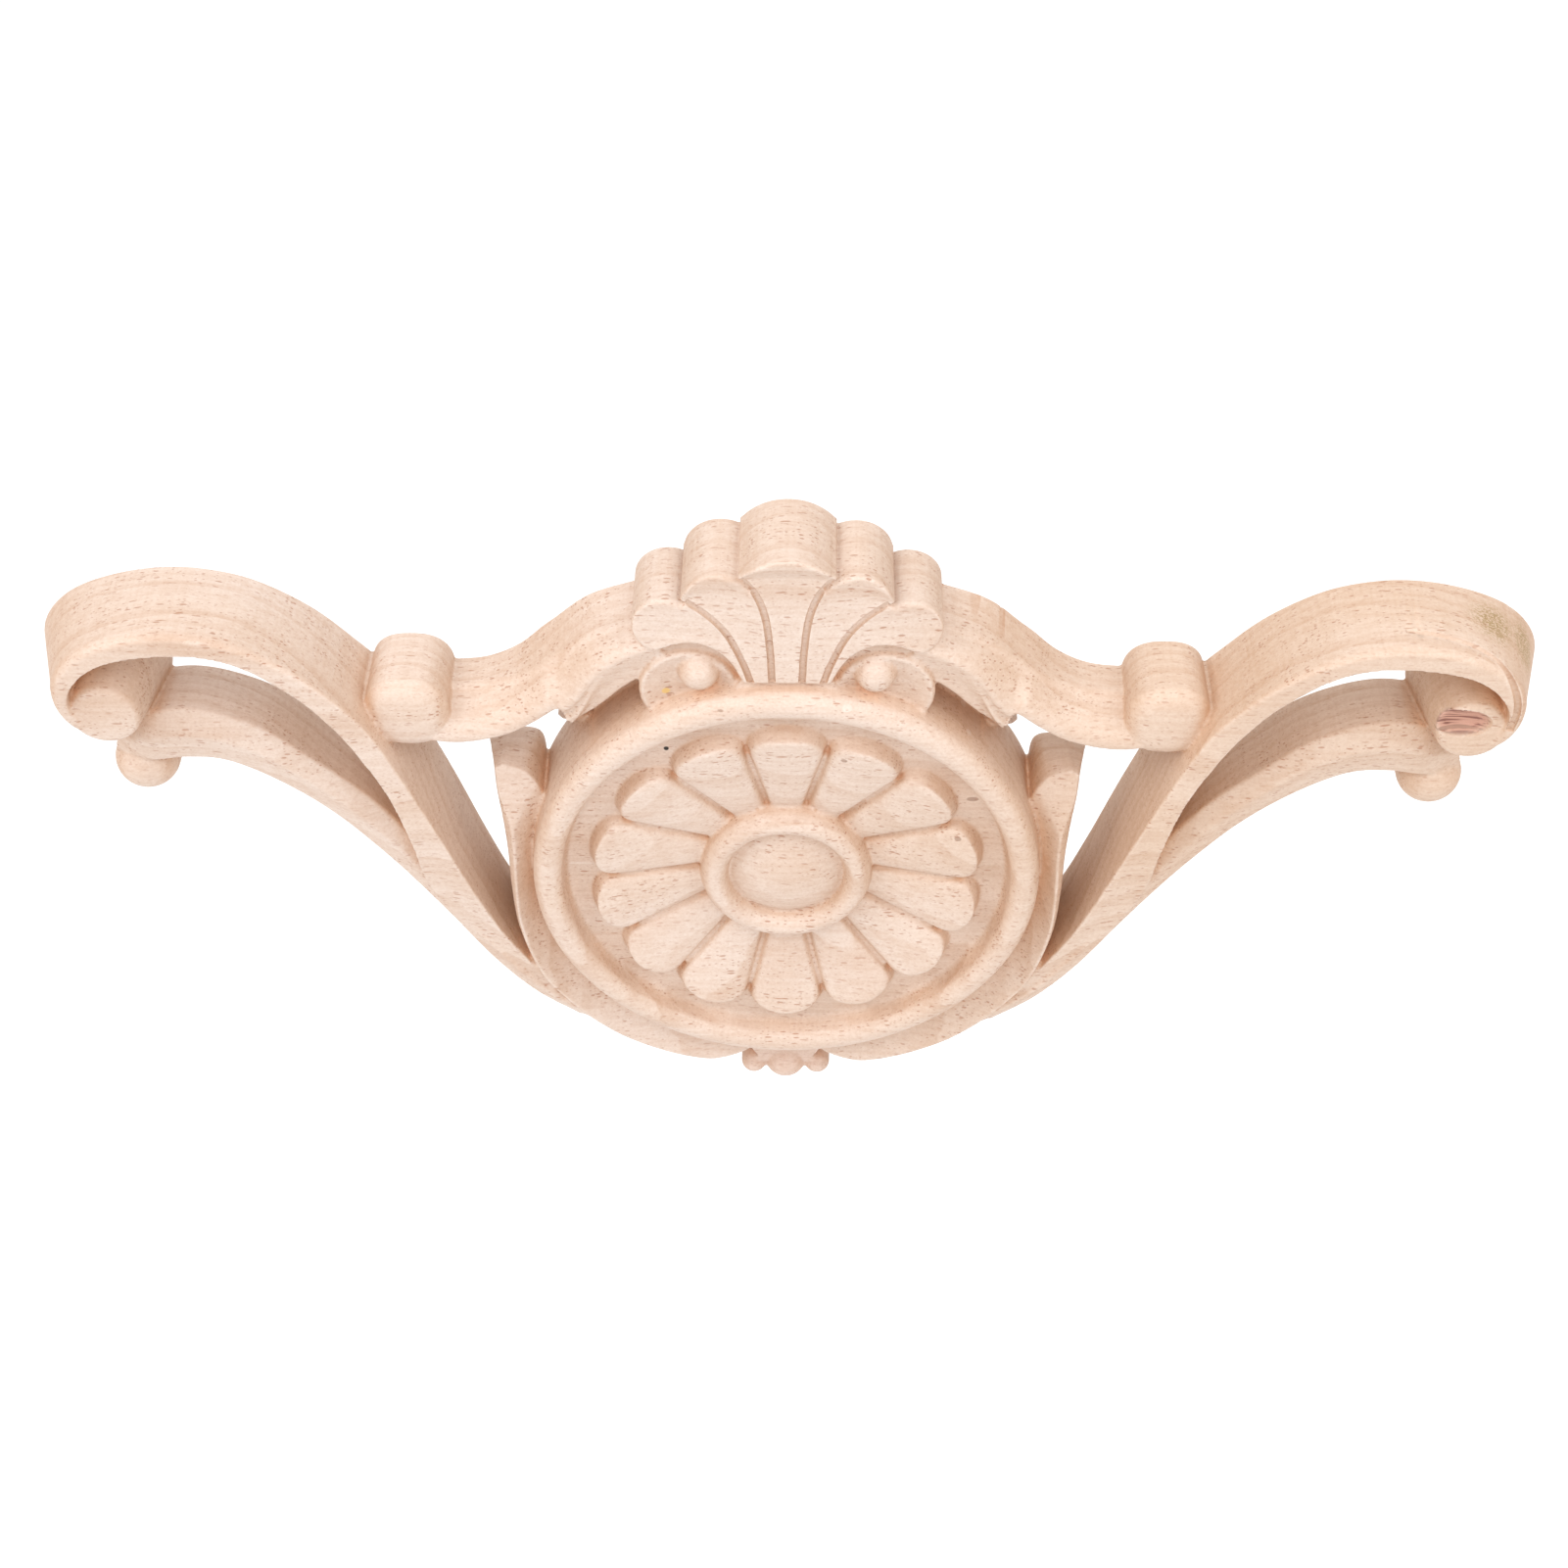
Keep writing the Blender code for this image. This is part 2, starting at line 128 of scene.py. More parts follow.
ring_half = (RING_OUTER - RING_VALLEY) / 2
ring_section = [(ON_AXIS, -BEHIND), (RING_FOOT, -BEHIND), (RING_OUTER + 0.1, BOARD - 2.1 * ring_half)]
ring_section += bend(RING_CREST, BOARD - ring_half, ring_half, ring_half, 8, 150, 18)
ring_section += [(RING_VALLEY + 0.15, DISC_RISE + 1.6), (RING_VALLEY - 0.5, DISC_RISE + 0.3)]
ring_section += [(RING_VALLEY - 1.6, DISC_RISE), (DISC_INNER, DISC_RISE), (DISC_INNER, DISH_RISE),
                 (ON_AXIS, DISH_RISE)]
blocks.append(turned("ring_and_disc", 0, 0, ring_section, 288))


# The fourteen petals round the middle. Their faces climb from the boss to the tips like a shallow dish,
# with a channel between neighbours and a flared end wall. One petal is drawn, and a node tree turns
# its copies about the rosette's middle.
PETALS = 14
PETAL_REACH = 41.3
PETAL_END = 6.2
PETAL_BLUNTNESS = 2.2
PETAL_FLARE = 1.5
PETAL_RISE = 20.9
PETAL_INNER_RISE = 15.6
PETAL_CROWN = 0.75
PETAL_EASE = 0.4
PETAL_START = 14.2
CHANNEL_WIDTH = (1.25, 1.75)
CHANNEL_DEPTH = 1.3


def finish_tree(tree, last, wood_socket):
    """Ends a node tree as every one of them ends: real copies, then the wood."""
    real = tree.nodes.new("GeometryNodeRealizeInstances")
    paint = tree.nodes.new("GeometryNodeSetMaterial")
    out = tree.nodes.new("NodeGroupOutput")
    tree.links.new(last, real.inputs[0])
    tree.links.new(real.outputs[0], paint.inputs["Geometry"])
    tree.links.new(wood_socket, paint.inputs["Material"])
    tree.links.new(paint.outputs[0], out.inputs[0])


def new_tree(name, sockets):
    """An empty node tree with named inputs, given as (name, socket type, value)."""
    tree = bpy.data.node_groups.new(name, "GeometryNodeTree")
    tree.interface.new_socket("Geometry", in_out="OUTPUT", socket_type="NodeSocketGeometry")
    tree.interface.new_socket("Geometry", in_out="INPUT", socket_type="NodeSocketGeometry")
    for label, kind, value in sockets:
        socket = tree.interface.new_socket(label, in_out="INPUT", socket_type=kind)
        if value is not None:
            socket.default_value = value
    return tree, tree.nodes.new("NodeGroupInput")


def grown(name, source, tree, values):
    """Runs a node tree on an object and returns the result as a plain mesh object."""
    modifier = source.modifiers.new(name, "NODES")
    modifier.node_group = tree
    for item in tree.interface.items_tree:
        if item.in_out == "INPUT" and item.name in values:
            modifier[item.identifier] = values[item.name]
    depsgraph = bpy.context.evaluated_depsgraph_get()
    data = bpy.data.meshes.new_from_object(source.evaluated_get(depsgraph))
    result = bpy.data.objects.new(name, data)
    bpy.context.scene.collection.objects.link(result)
    source.modifiers.remove(modifier)
    bpy.data.objects.remove(source)
    return result


def petal_face(run):
    """Rise of a petal's middle line, run millimetres from the rosette's middle."""
    return PETAL_INNER_RISE + (PETAL_RISE - PETAL_INNER_RISE) * (run - 18.2) / (PETAL_REACH - 18.2)


def petal():
    """One petal pointing up, as rows across it from the boss to the tip."""
    centre = PETAL_REACH - PETAL_END
    half_turn = math.pi / PETALS
    rows = []
    runs = list(np.linspace(PETAL_START, centre + 1.5, 24))
    runs += [centre + PETAL_END * math.sin(a) for a in np.radians(np.linspace(16, 89, 28))]
    for run in runs:
        past = max(run - centre, 0.0)
        share = (run - PETAL_START) / (PETAL_REACH - PETAL_START)
        channel = CHANNEL_WIDTH[0] + (CHANNEL_WIDTH[1] - CHANNEL_WIDTH[0]) * share
        straight = run * math.tan(half_turn) - channel / 2
        past /= PETAL_END
        half = max(straight * (1 - past ** PETAL_BLUNTNESS) ** (1 / PETAL_BLUNTNESS), 0.05)
        at_end = past > 0.3
        flare = PETAL_FLARE if at_end else 0.25
        lean = (math.sqrt(1 - past ** 2), past) if at_end else (1.0, 0.0)
        foot = (half + flare * lean[0], run + flare * lean[1])
        foot_rise = DISC_RISE - 0.7 if at_end else petal_face(run) - PETAL_CROWN - CHANNEL_DEPTH
        row = [(-foot[0], foot[1], DISH_RISE - 1.0), (-foot[0], foot[1], foot_rise)]
        for t in np.linspace(-1, 1, 19):
            near = min((1 - abs(t)) * half, PETAL_REACH - run)
            edge = min(near / PETAL_EASE, 1.0)
            ease = PETAL_EASE * (1 - math.sqrt(1 - (1 - edge) ** 2))
            drop = PETAL_CROWN * (abs(t) ** 2.6) * min(half / 3.0, 1.0)
            row.append((t * half, run, petal_face(run) - drop - ease))
        row += [(foot[0], foot[1], foot_rise), (foot[0], foot[1], DISH_RISE - 1.0)]
        rows.append(row)
    return block("petal", rows)


wood = bpy.data.materials.new("bare_rubberwood")
wood.use_nodes = True
wreath, given = new_tree("petals_round_a_boss", [("Petals", "NodeSocketInt", PETALS),
                                                ("Turn", "NodeSocketFloat", 2 * math.pi / PETALS),
                                                ("Wood", "NodeSocketMaterial", None)])
spots = wreath.nodes.new("GeometryNodeMeshLine")
spots.mode = "OFFSET"
spots.inputs["Offset"].default_value = (0, 0, 0)
order = wreath.nodes.new("GeometryNodeInputIndex")
turn = wreath.nodes.new("ShaderNodeMath")
turn.operation = "MULTIPLY"
about = wreath.nodes.new("ShaderNodeCombineXYZ")
copies = wreath.nodes.new("GeometryNodeInstanceOnPoints")
wreath.links.new(given.outputs["Petals"], spots.inputs["Count"])
wreath.links.new(order.outputs[0], turn.inputs[0])
wreath.links.new(given.outputs["Turn"], turn.inputs[1])
wreath.links.new(turn.outputs[0], about.inputs["Y"])
wreath.links.new(spots.outputs[0], copies.inputs["Points"])
wreath.links.new(given.outputs["Geometry"], copies.inputs["Instance"])
wreath.links.new(about.outputs[0], copies.inputs["Rotation"])
finish_tree(wreath, copies.outputs[0], given.outputs["Wood"])
blocks.append(grown("petals", petal(), wreath, {"Petals": PETALS, "Turn": 2 * math.pi / PETALS,
                                                "Wood": wood}))
floor_drop = PETAL_CROWN + CHANNEL_DEPTH
channel_section = [(ON_AXIS, 10.0), (36.6, 10.0), (36.6, DISC_RISE - 0.4),
                   (35.6, petal_face(34.0) - floor_drop)]
channel_section += [(r, petal_face(r) - floor_drop) for r in (33.0, 26.0, 18.2, 14.0)] + [(ON_AXIS, 12.0)]
blocks.append(turned("channel_floor", 0, 0, channel_section, 168))


# The boss at the middle of the petals, turned from the same wood: a wide round roll with a low dome
# inside it, parted from it by a crease.
BOSS_INNER = 12.45
BOSS_OUTER = 18.3
BOSS_RISE = 19.8
BOSS_CREASE_RISE = 15.9
DOME_RISE = 19.6
boss_half = (BOSS_OUTER - BOSS_INNER) / 2
boss_section = [(ON_AXIS, 9.0), (BOSS_OUTER + 0.2, 9.0), (BOSS_OUTER + 0.1, BOSS_CREASE_RISE - 1.5)]
boss_section += bend((BOSS_INNER + BOSS_OUTER) / 2, BOSS_CREASE_RISE, boss_half, BOSS_RISE - BOSS_CREASE_RISE,
                     0, 180, 25)
boss_section += [(BOSS_INNER - 0.25, BOSS_CREASE_RISE - 0.5), (BOSS_INNER - 0.5, BOSS_CREASE_RISE + 0.1)]
for r in np.linspace(BOSS_INNER - 0.6, ON_AXIS, 16):
    boss_section.append((r, DOME_RISE - (DOME_RISE - BOSS_CREASE_RISE - 0.3) * (r / BOSS_INNER) ** 2))
blocks.append(turned("boss", 0, 0, boss_section, 144))


# The shell above the ring: a middle lobe with two smaller ones on each side, their faces scooped a
# little, and a curved groove cut between neighbours with a round-nosed tool.
SHELL_ROOT_RISE = 18.4
MIDDLE_LOBE = (0.0, 76.0, 11.6, 20.6)
SECOND_LOBE = (13.4, 75.0, 7.5, 18.6)
THIRD_LOBE = (23.9, 68.2, 7.0, 17.2)
INNER_GROOVE = [(3.0, 55.4), (3.3, 63.0), (4.2, 72.0), (6.2, 78.5), (9.2, 82.6)]
OUTER_GROOVE = [(7.1, 55.0), (8.8, 60.5), (11.7, 67.2), (15.5, 72.0), (20.0, 75.6)]
LOWER_RIM = [(9.0, 55.5), (11.5, 60.5), (15.5, 63.9), (20.6, 64.6), (27.0, 62.0)]
GROOVE_RADIUS = 0.8
GROOVE_SINK = 0.35
GROOVE_TOP_RISE = (18.9, 17.6)
SCOOP = 0.7
LOBE_ROLL = 1.4
LOBE_EASE = 0.6


def rail(points, count):
    """Evenly spaced points along the rounded curve through the given ones, five numbers to a point:
    out, up, rise, how far the wall's foot stands out, and the radius of the rounded shoulder."""
    knots = np.array([list(p) + [0.0] * (5 - len(p)) for p in points], float)
    knots = np.vstack([2 * knots[0] - knots[1], knots, 2 * knots[-1] - knots[-2]])
    t = np.linspace(0, 1, 24, endpoint=False)[:, None]
    runs = []  # Catmull-Rom curves from knot to knot
    for a, b, c, d in zip(knots, knots[1:], knots[2:], knots[3:]):
        runs.append(0.5 * (2 * b + (c - a) * t + (2 * a - 5 * b + 4 * c - d) * t ** 2
                           + (3 * b - a - 3 * c + d) * t ** 3))
    fine = np.vstack(runs + [knots[-2:-1]])
    walked = np.concatenate([[0.0], np.cumsum(np.linalg.norm(np.diff(fine[:, :4], axis=0), axis=1))])
    wanted = np.linspace(0, walked[-1], count)
    return np.stack([np.interp(wanted, walked, fine[:, k]) for k in range(5)], axis=1)


def strip(name, side, first, second, count, lift=None, across=14, ease=0.35, under=None):
    """A strip carved between two edges on the front, with walls down to the back. lift(t, s, width)
    raises the face at share t across it and share s along it, and under(out, up) is a ceiling it is
    planed down to. Shoulders follow the edges' last number."""
    a = rail(first, count)
    b = rail(second, count)
    rows = []
    for i in range(count):
        gap = b[i, :2] - a[i, :2]
        width = max(float(np.linalg.norm(gap)), 1e-4)
        away = gap / width
        soft_a = min(max(a[i, 4], ease), width * 0.49)
        soft_b = min(max(b[i, 4], ease), width * 0.49)
        turn_in = 1 - np.cos(np.linspace(0, math.pi / 2, 7))
        from_a = soft_a * turn_in
        from_b = width - soft_b * turn_in[::-1]
        middle = np.linspace(soft_a, width - soft_b, across + 2)[1:-1]
        row = [(*(a[i, :2] - away * a[i, 3]), -BEHIND)]
        for d in np.concatenate([from_a, middle, from_b]):
            t = d / width
            rise = a[i, 2] * (1 - t) + b[i, 2] * t
            if lift:
                rise += lift(t, i / (count - 1), width)
            for soft, near in ((soft_a, d), (soft_b, width - d)):
                if near < soft:
                    rise -= soft - math.sqrt(max(soft ** 2 - (soft - near) ** 2, 0.0))
            spot = a[i, :2] + away * d
            row.append((*spot, min(rise, under(*spot)) if under else rise))
        row.append((*(b[i, :2] + away * b[i, 3]), -BEHIND))
        rows.append(row)
    return block(name, rows, side)


def lobe_edge(groove, circle, start, end, shared):
    """A lobe's edge: up a groove, where its rise is the one it shares with its neighbour, then along
    its round end, where it climbs to its own."""
    out, up, radius, rise = circle
    angles = np.radians(np.linspace(start, end, 12))
    edge = [(x, z, SHELL_ROOT_RISE + (shared - SHELL_ROOT_RISE) * k / 11)
            for k, (x, z) in enumerate(tuple(p[:2]) for p in rail(groove, 12))][:-1]
    for k, a in enumerate(angles):
        climb = math.sin(min(k / 6, 1.0) * math.pi / 2)
        edge.append((out + radius * math.cos(a), up + radius * math.sin(a), shared + (rise - shared) * climb,
                     0.0, LOBE_ROLL * climb))
    return edge


def rolled_over(circle, faces):
    """A ceiling that rolls a lobe's face over into its wall round the end that faces the given way."""
    out, up, radius, rise = circle
    faces = math.radians(faces)

    def ceiling(x, z):
        ahead = (x - out) * math.cos(faces) + (z - up) * math.sin(faces)
        near = radius - math.hypot(x - out, z - up)
        if ahead < 0 or near > LOBE_ROLL:
            return BOARD
        return rise - LOBE_ROLL + math.sqrt(max(LOBE_ROLL ** 2 - (LOBE_ROLL - near) ** 2, 0.0))

    return ceiling


def scooped(t, s, width):
    """The lobe's face is hollowed a little towards its outer end."""
    deep = min(max((s - 0.25) / 0.45, 0.0), 1.0) * min(width / 6.0, 1.0)
    return -SCOOP * deep * (1 - abs(2 * t - 1) ** 3)


inner_rise, outer_rise = GROOVE_TOP_RISE
middle_edge = lobe_edge(INNER_GROOVE, MIDDLE_LOBE, 34, 90, inner_rise)
blocks.append(strip("lobe_middle", 1, middle_edge, [(-p[0], *p[1:]) for p in middle_edge], 90, scooped,
                    across=24, ease=LOBE_EASE, under=rolled_over(MIDDLE_LOBE, 90)))
for side in (-1, 1):
    blocks.append(strip("lobe_second", side, lobe_edge(OUTER_GROOVE, SECOND_LOBE, 5, 60, outer_rise),
                        lobe_edge(INNER_GROOVE, SECOND_LOBE, 116, 60, inner_rise), 80, scooped,
                        across=20, ease=LOBE_EASE, under=rolled_over(SECOND_LOBE, 60)))
    blocks.append(strip("lobe_third", side, lobe_edge(LOWER_RIM, THIRD_LOBE, -60, 28, THIRD_LOBE[3]),
                        lobe_edge(OUTER_GROOVE, THIRD_LOBE, 116, 28, outer_rise), 80, scooped,
                        across=20, ease=LOBE_EASE, under=rolled_over(THIRD_LOBE, 28)))

roll, given = new_tree("round_nose_along_a_path", [("Nose radius", "NodeSocketFloat", 0.001),
                                                  ("Wood", "NodeSocketMaterial", None)])
as_curve = roll.nodes.new("GeometryNodeMeshToCurve")
nose = roll.nodes.new("GeometryNodeCurvePrimitiveCircle")
nose.inputs["Resolution"].default_value = 16
swept = roll.nodes.new("GeometryNodeCurveToMesh")
swept.inputs["Fill Caps"].default_value = True
roll.links.new(given.outputs["Geometry"], as_curve.inputs["Mesh"])
roll.links.new(given.outputs["Nose radius"], nose.inputs["Radius"])
roll.links.new(as_curve.outputs[0], swept.inputs["Curve"])
roll.links.new(nose.outputs[0], swept.inputs["Profile Curve"])
finish_tree(roll, swept.outputs[0], given.outputs["Wood"])


def rolled(name, side, path, radius, count=40):
    """A round bar laid along a path of (out, up, rise)."""
    points = rail(path, count)
    thing = mesh_thing(name, [(side * p[0], -p[2], p[1]) for p in points], [])
    work = bmesh.new()
    work.from_mesh(thing.data)
    work.verts.ensure_lookup_table()
    for i in range(count - 1):
        work.edges.new((work.verts[i], work.verts[i + 1]))
    work.to_mesh(thing.data)
    work.free()
    return grown(name, thing, roll, {"Nose radius": radius * MM, "Wood": wood})


for side in (-1, 1):
    for groove, tall in zip((INNER_GROOVE, OUTER_GROOVE), GROOVE_TOP_RISE):
        rises = np.linspace(SHELL_ROOT_RISE, tall, len(groove))
        path = [(x, z, rise - GROOVE_SINK) for (x, z), rise in zip(groove, rises)]
        cuts.append(rolled("groove", side, path, GROOVE_RADIUS))


# The low ground that ties shell, ring and folds together, the cove under the shell, and on each side a
# flat volute plate, dished towards the ball that sits on it.
GROUND = [(4.0, 50.0), (30.0, 40.0), (45.9, 35.8), (45.3, 38.6), (42.0, 46.0), (37.0, 54.0), (28.0, 62.0),
          (18.0, 66.0), (8.0, 62.0)]
GROUND_RISE = 6.0
BAND = [(0.0, 44.0), (18.5, 44.0), (15.0, 49.2), (10.8, 52.6), (9.2, 54.9), (0.0, 55.4)]
BAND_RISE = (17.3, 15.6)
COVE = [(8.6, 53.0), (20.0, 50.0), (30.0, 51.0), (29.5, 57.5), (25.4, 61.8), (18.0, 63.6), (11.6, 60.4)]
COVE_RISE = 15.0
PLATE = (19.8, 51.3, 10.1, 16.6)
EYE = (17.7, 56.2, 4.3, 19.4)


def slab(name, side, outline, rise, far_rise=None):
    """A block on a plan outline. Its top is flat, or slopes from rise to far_rise 9 to 18 mm out."""
    far_rise = rise if far_rise is None else far_rise
    top = [(x, z, rise + (far_rise - rise) * min(max((x - 9.0) / 9.0, 0.0), 1.0)) for x, z in outline]
    return block(name, [[(x, z, -BEHIND) for x, z in outline], top], side)


for side in (-1, 1):
    out, up, radius, rise = PLATE
    blocks.append(slab("ground", side, GROUND, GROUND_RISE))
    blocks.append(slab("band", side, BAND, *BAND_RISE))
    blocks.append(slab("cove", side, COVE, COVE_RISE))
    dish = [(ON_AXIS, -BEHIND), (radius + 0.1, -BEHIND), (radius, rise - 0.7), (radius - 0.7, rise)]
    dish += [(radius - 2.4, rise - 0.7), (4.6, rise - 1.5), (ON_AXIS, rise - 1.6)]
    blocks.append(turned("volute_plate", out, up, dish, 96, side))
    out, up, radius, rise = EYE
    ball = [(ON_AXIS, 8.0), (radius * 0.9, 8.0)] + bend(0, rise - radius, radius, radius, -20, 89.9, 14)
    blocks.append(turned("volute_ball", out, up, ball, 48, side))


# The outer scrolls: each rises from the husk, runs over to the side and rolls in round a button. Its top
# is rounded over into the face, the inner edge is crisp, and the low stretch has a sloped wall.
SCROLL_OUTER = [(140.0, 38.8, 19.6, 1.0, 1.6), (145.2, 42.6, 20.6, 4.0, 2.2),
                (148.0, 48.6, 21.4, 7.4, 3.0), (147.4, 55.8, BOARD, 6.6, 3.2),
                (143.2, 62.0, BOARD, 3.8, 3.2), (136.0, 66.2, BOARD, 1.4, 3.0),
                (127.0, 68.4, BOARD, 0.4, 2.8), (118.0, 68.3, BOARD, 0.0, 2.6),
                (108.2, 65.5, BOARD, 0.0, 2.2), (98.0, 59.0, BOARD, 0.0, 1.6),
                (90.0, 50.8, 21.8, 0.0, 1.1), (84.6, 42.6, 21.4, 1.5, 0.8), (79.0, 28.6, 20.6, 3.4, 0.6),
                (72.9, 11.4, 19.8, 2.8, 0.5), (66.6, -7.0, 18.8, 2.4, 0.5),
                (61.0, -20.6, 18.0, 1.8, 0.5), (53.6, -33.2, 17.0, 1.0, 0.5),
                (46.0, -42.0, 15.6, 0.0, 0.5), (36.0, -48.0, 14.4, 0.0, 0.5)]
SCROLL_INNER = [(141.4, 43.0, 19.6), (144.2, 46.6, 20.6), (144.6, 50.8, 21.4), (142.8, 55.2, BOARD),
                (139.0, 59.2, BOARD), (134.0, 61.7, BOARD), (126.0, 63.3, BOARD), (117.0, 63.4, BOARD),
                (108.2, 60.6, BOARD), (98.3, 52.6, 21.8), (92.6, 45.4, 21.6), (87.6, 36.6, 21.4),
                (82.6, 24.4, 20.8), (79.2, 10.0, 19.8), (76.4, -6.0, 17.6), (66.6, -26.6, 15.6),
                (57.4, -39.2, 15.2), (48.4, -47.0, 15.0), (37.0, -53.8, 14.6)]
BUTTON = (138.4, 45.6, 7.4, 20.0)
BUTTON_FOOT = 10.8


def domed(name, side, spot, soft, foot=0.0, count=72, flat=1.0):
    """A round post with a softly domed front. foot is its radius at the back, where it is wider there."""
    out, up, radius, rise = spot
    section = [(ON_AXIS, -BEHIND), (max(foot, radius), -BEHIND)]
    section += bend(radius - soft, rise - soft * flat, soft, soft * flat, 0, 90, 14)
    if radius > soft:
        section.append((ON_AXIS, rise + 0.25))
    return turned(name, out, up, section, count, side)


for side in (-1, 1):
    blocks.append(strip("outer_scroll", side, SCROLL_OUTER, SCROLL_INNER, 200))
    blocks.append(domed("scroll_button", side, BUTTON, 1.7, foot=BUTTON_FOOT))


# Two marks of the knife that only the right scroll has: a thin step along its rounded shoulder, and a
# long torn hollow in the front of its button.
STEP = [(122.0, 69.2, 15.8), (128.4, 68.4, 16.5), (133.2, 67.3, 17.1), (137.6, 65.6, 18.1),
        (140.3, 63.9, 19.4), (142.8, 61.2, 21.0), (144.8, 57.2, 21.8), (145.7, 52.7, 21.6),
        (145.3, 47.0, 21.0)]
STEP_RADIUS = 0.8
TORN = (135.9, 48.0, 6.1, 3.5)
TORN_DEPTH = 2.2
cuts.append(rolled("step", 1, STEP, STEP_RADIUS, 60))
out, up, across, tall = TORN
hollow = [(0.0001, 24.0), (1.05, 24.0), (1.0, BUTTON[3] + 0.2), (0.93, BUTTON[3] - 1.2),
          (0.5, BUTTON[3] - TORN_DEPTH), (0.0001, BUTTON[3] - TORN_DEPTH)]
rows = [[(out + r * across * math.cos(a), up + r * tall * math.sin(a), y) for r, y in hollow]
        for a in np.arange(40) * math.pi / 20]
cuts.append(block("torn_hollow", rows, 1, closed=True))


# The lower arms: a slimmer limb of the same wood under each scroll, planed in two facets that meet in
# a ridge along its face. Its end is rounded to a ball.
ARM_UPPER = [(139.0, 35.0, 8.0), (131.0, 40.8, 13.0), (124.0, 42.4, 13.6), (116.0, 40.9, 13.8),
             (107.0, 36.5, 14.0), (98.0, 28.6, 14.2), (88.0, 19.0, 14.4), (79.0, 6.0, 14.6),
             (68.0, -14.0, 14.8), (54.0, -34.0, 15.0), (44.0, -44.0, 15.0)]
ARM_LOWER = [(141.2, 25.4, 8.6), (133.6, 26.6, 12.4), (125.0, 27.8, 12.6), (116.5, 27.2, 13.0),
             (106.1, 21.4, 13.2), (95.7, 12.5, 13.4), (85.4, 0.2, 13.8), (77.1, -11.4, 14.2),
             (66.8, -26.8, 14.8), (57.4, -39.4, 15.0), (46.6, -48.4, 15.0)]
ARM_RIDGE = 2.2
ARM_RIDGE_AT = 0.42
KNOB = (135.3, 22.6, 6.8, 13.2)


def ridged(t, s, width):
    """The arm's face rises in two facets to a ridge just above its middle."""
    side_share = ARM_RIDGE_AT if t < ARM_RIDGE_AT else 1 - ARM_RIDGE_AT
    return ARM_RIDGE * (1 - abs((t - ARM_RIDGE_AT) / side_share))


for side in (-1, 1):
    blocks.append(strip("lower_arm", side, ARM_UPPER, ARM_LOWER, 130, ridged, across=20, ease=0.5))
    blocks.append(domed("arm_ball", side, KNOB, 6.8))


# The C-scrolls between shell and outer scroll: round-backed limbs that end against a short round post,
# with a sharp S fold where they tuck in beside the shell.
C_UPPER = [(76.0, 44.6, 8.0, 0.0, 0.6), (69.2, 45.0, 8.0, 0.0, 0.6), (62.0, 46.0, 8.2, 0.0, 0.6),
           (54.9, 48.9, 8.8, 0.9, 0.6), (47.2, 54.8, 9.6, 2.2, 0.6), (39.6, 61.0, 9.8, 2.4, 0.7),
           (29.0, 65.4, 9.8, 2.0, 0.8)]
C_LOWER = [(79.0, 38.4, 16.4), (73.4, 37.2, 16.8), (66.0, 37.0, 17.0), (57.7, 39.1, 17.0), (51.8, 42.5, 16.9),
           (47.4, 45.7, 16.6), (46.3, 45.9, 16.5), (45.4, 43.4, 16.2), (44.7, 42.1, 16.2), (43.6, 43.1, 16.4),
           (42.0, 45.2, 16.5), (40.0, 49.2, 16.5), (38.4, 52.6, 16.5), (36.3, 55.6, 16.5), (32.6, 58.8, 16.3),
           (27.2, 61.2, 16.0)]
C_BELLY = 2.9
C_CREASE = 0.7
VALLEY_FROM = 0.53
VALLEY_DIP = 1.7
POST = (77.6, 43.4, 8.5, 17.6)
POST_SQUARENESS = 2.5
POST_SHOULDER = (4.6, 4.0)
FOLD_RIDGE = [(44.6, 40.9, 16.0), (43.1, 42.9, 16.5), (41.3, 46.4, 16.5), (39.4, 50.8, 16.5),
              (36.1, 55.8, 16.5), (31.0, 59.8, 16.5), (25.1, 62.7, 16.5)]
FOLD_FOOT = [(44.4, 40.6, 15.0), (41.8, 42.9, 15.0), (39.2, 44.9, 15.0), (36.5, 47.4, 15.0),
             (33.7, 50.3, 15.0), (30.0, 53.2, 15.0), (25.0, 56.0, 15.0)]
WEB_OUT = [(48.4, 31.6, 2.2), (47.0, 34.8, 6.8), (45.5, 38.0, 10.6), (44.3, 40.8, 13.4), (43.4, 43.0, 12.0)]
WEB_IN = [(42.0, 28.0, 0.6), (41.4, 32.0, 5.0), (41.6, 35.6, 6.6), (42.2, 39.4, 7.6), (42.0, 43.4, 7.0)]


def bellied(t, s, width):
    """The C-scroll is rounded from its top wall down to its lower edge. Beyond the fold's tip a soft
    valley runs beside the fold's ridge and fades towards the shell."""
    past = (s - VALLEY_FROM) / (1 - VALLEY_FROM)
    dip = VALLEY_DIP * min(past / 0.08, 1.0) * max(1 - past / 0.75, 0.0) if past > 0 else 0.0
    crease = C_CREASE * math.exp(-((t - 0.13) / 0.06) ** 2)
    return C_BELLY * math.sin(math.pi * t) ** 0.9 - crease - dip * math.exp(-((t - 0.86) / 0.085) ** 2)


def hollowed(t, s, width):
    """The fold's face is slightly hollow."""
    return -0.5 * math.sin(math.pi * t)


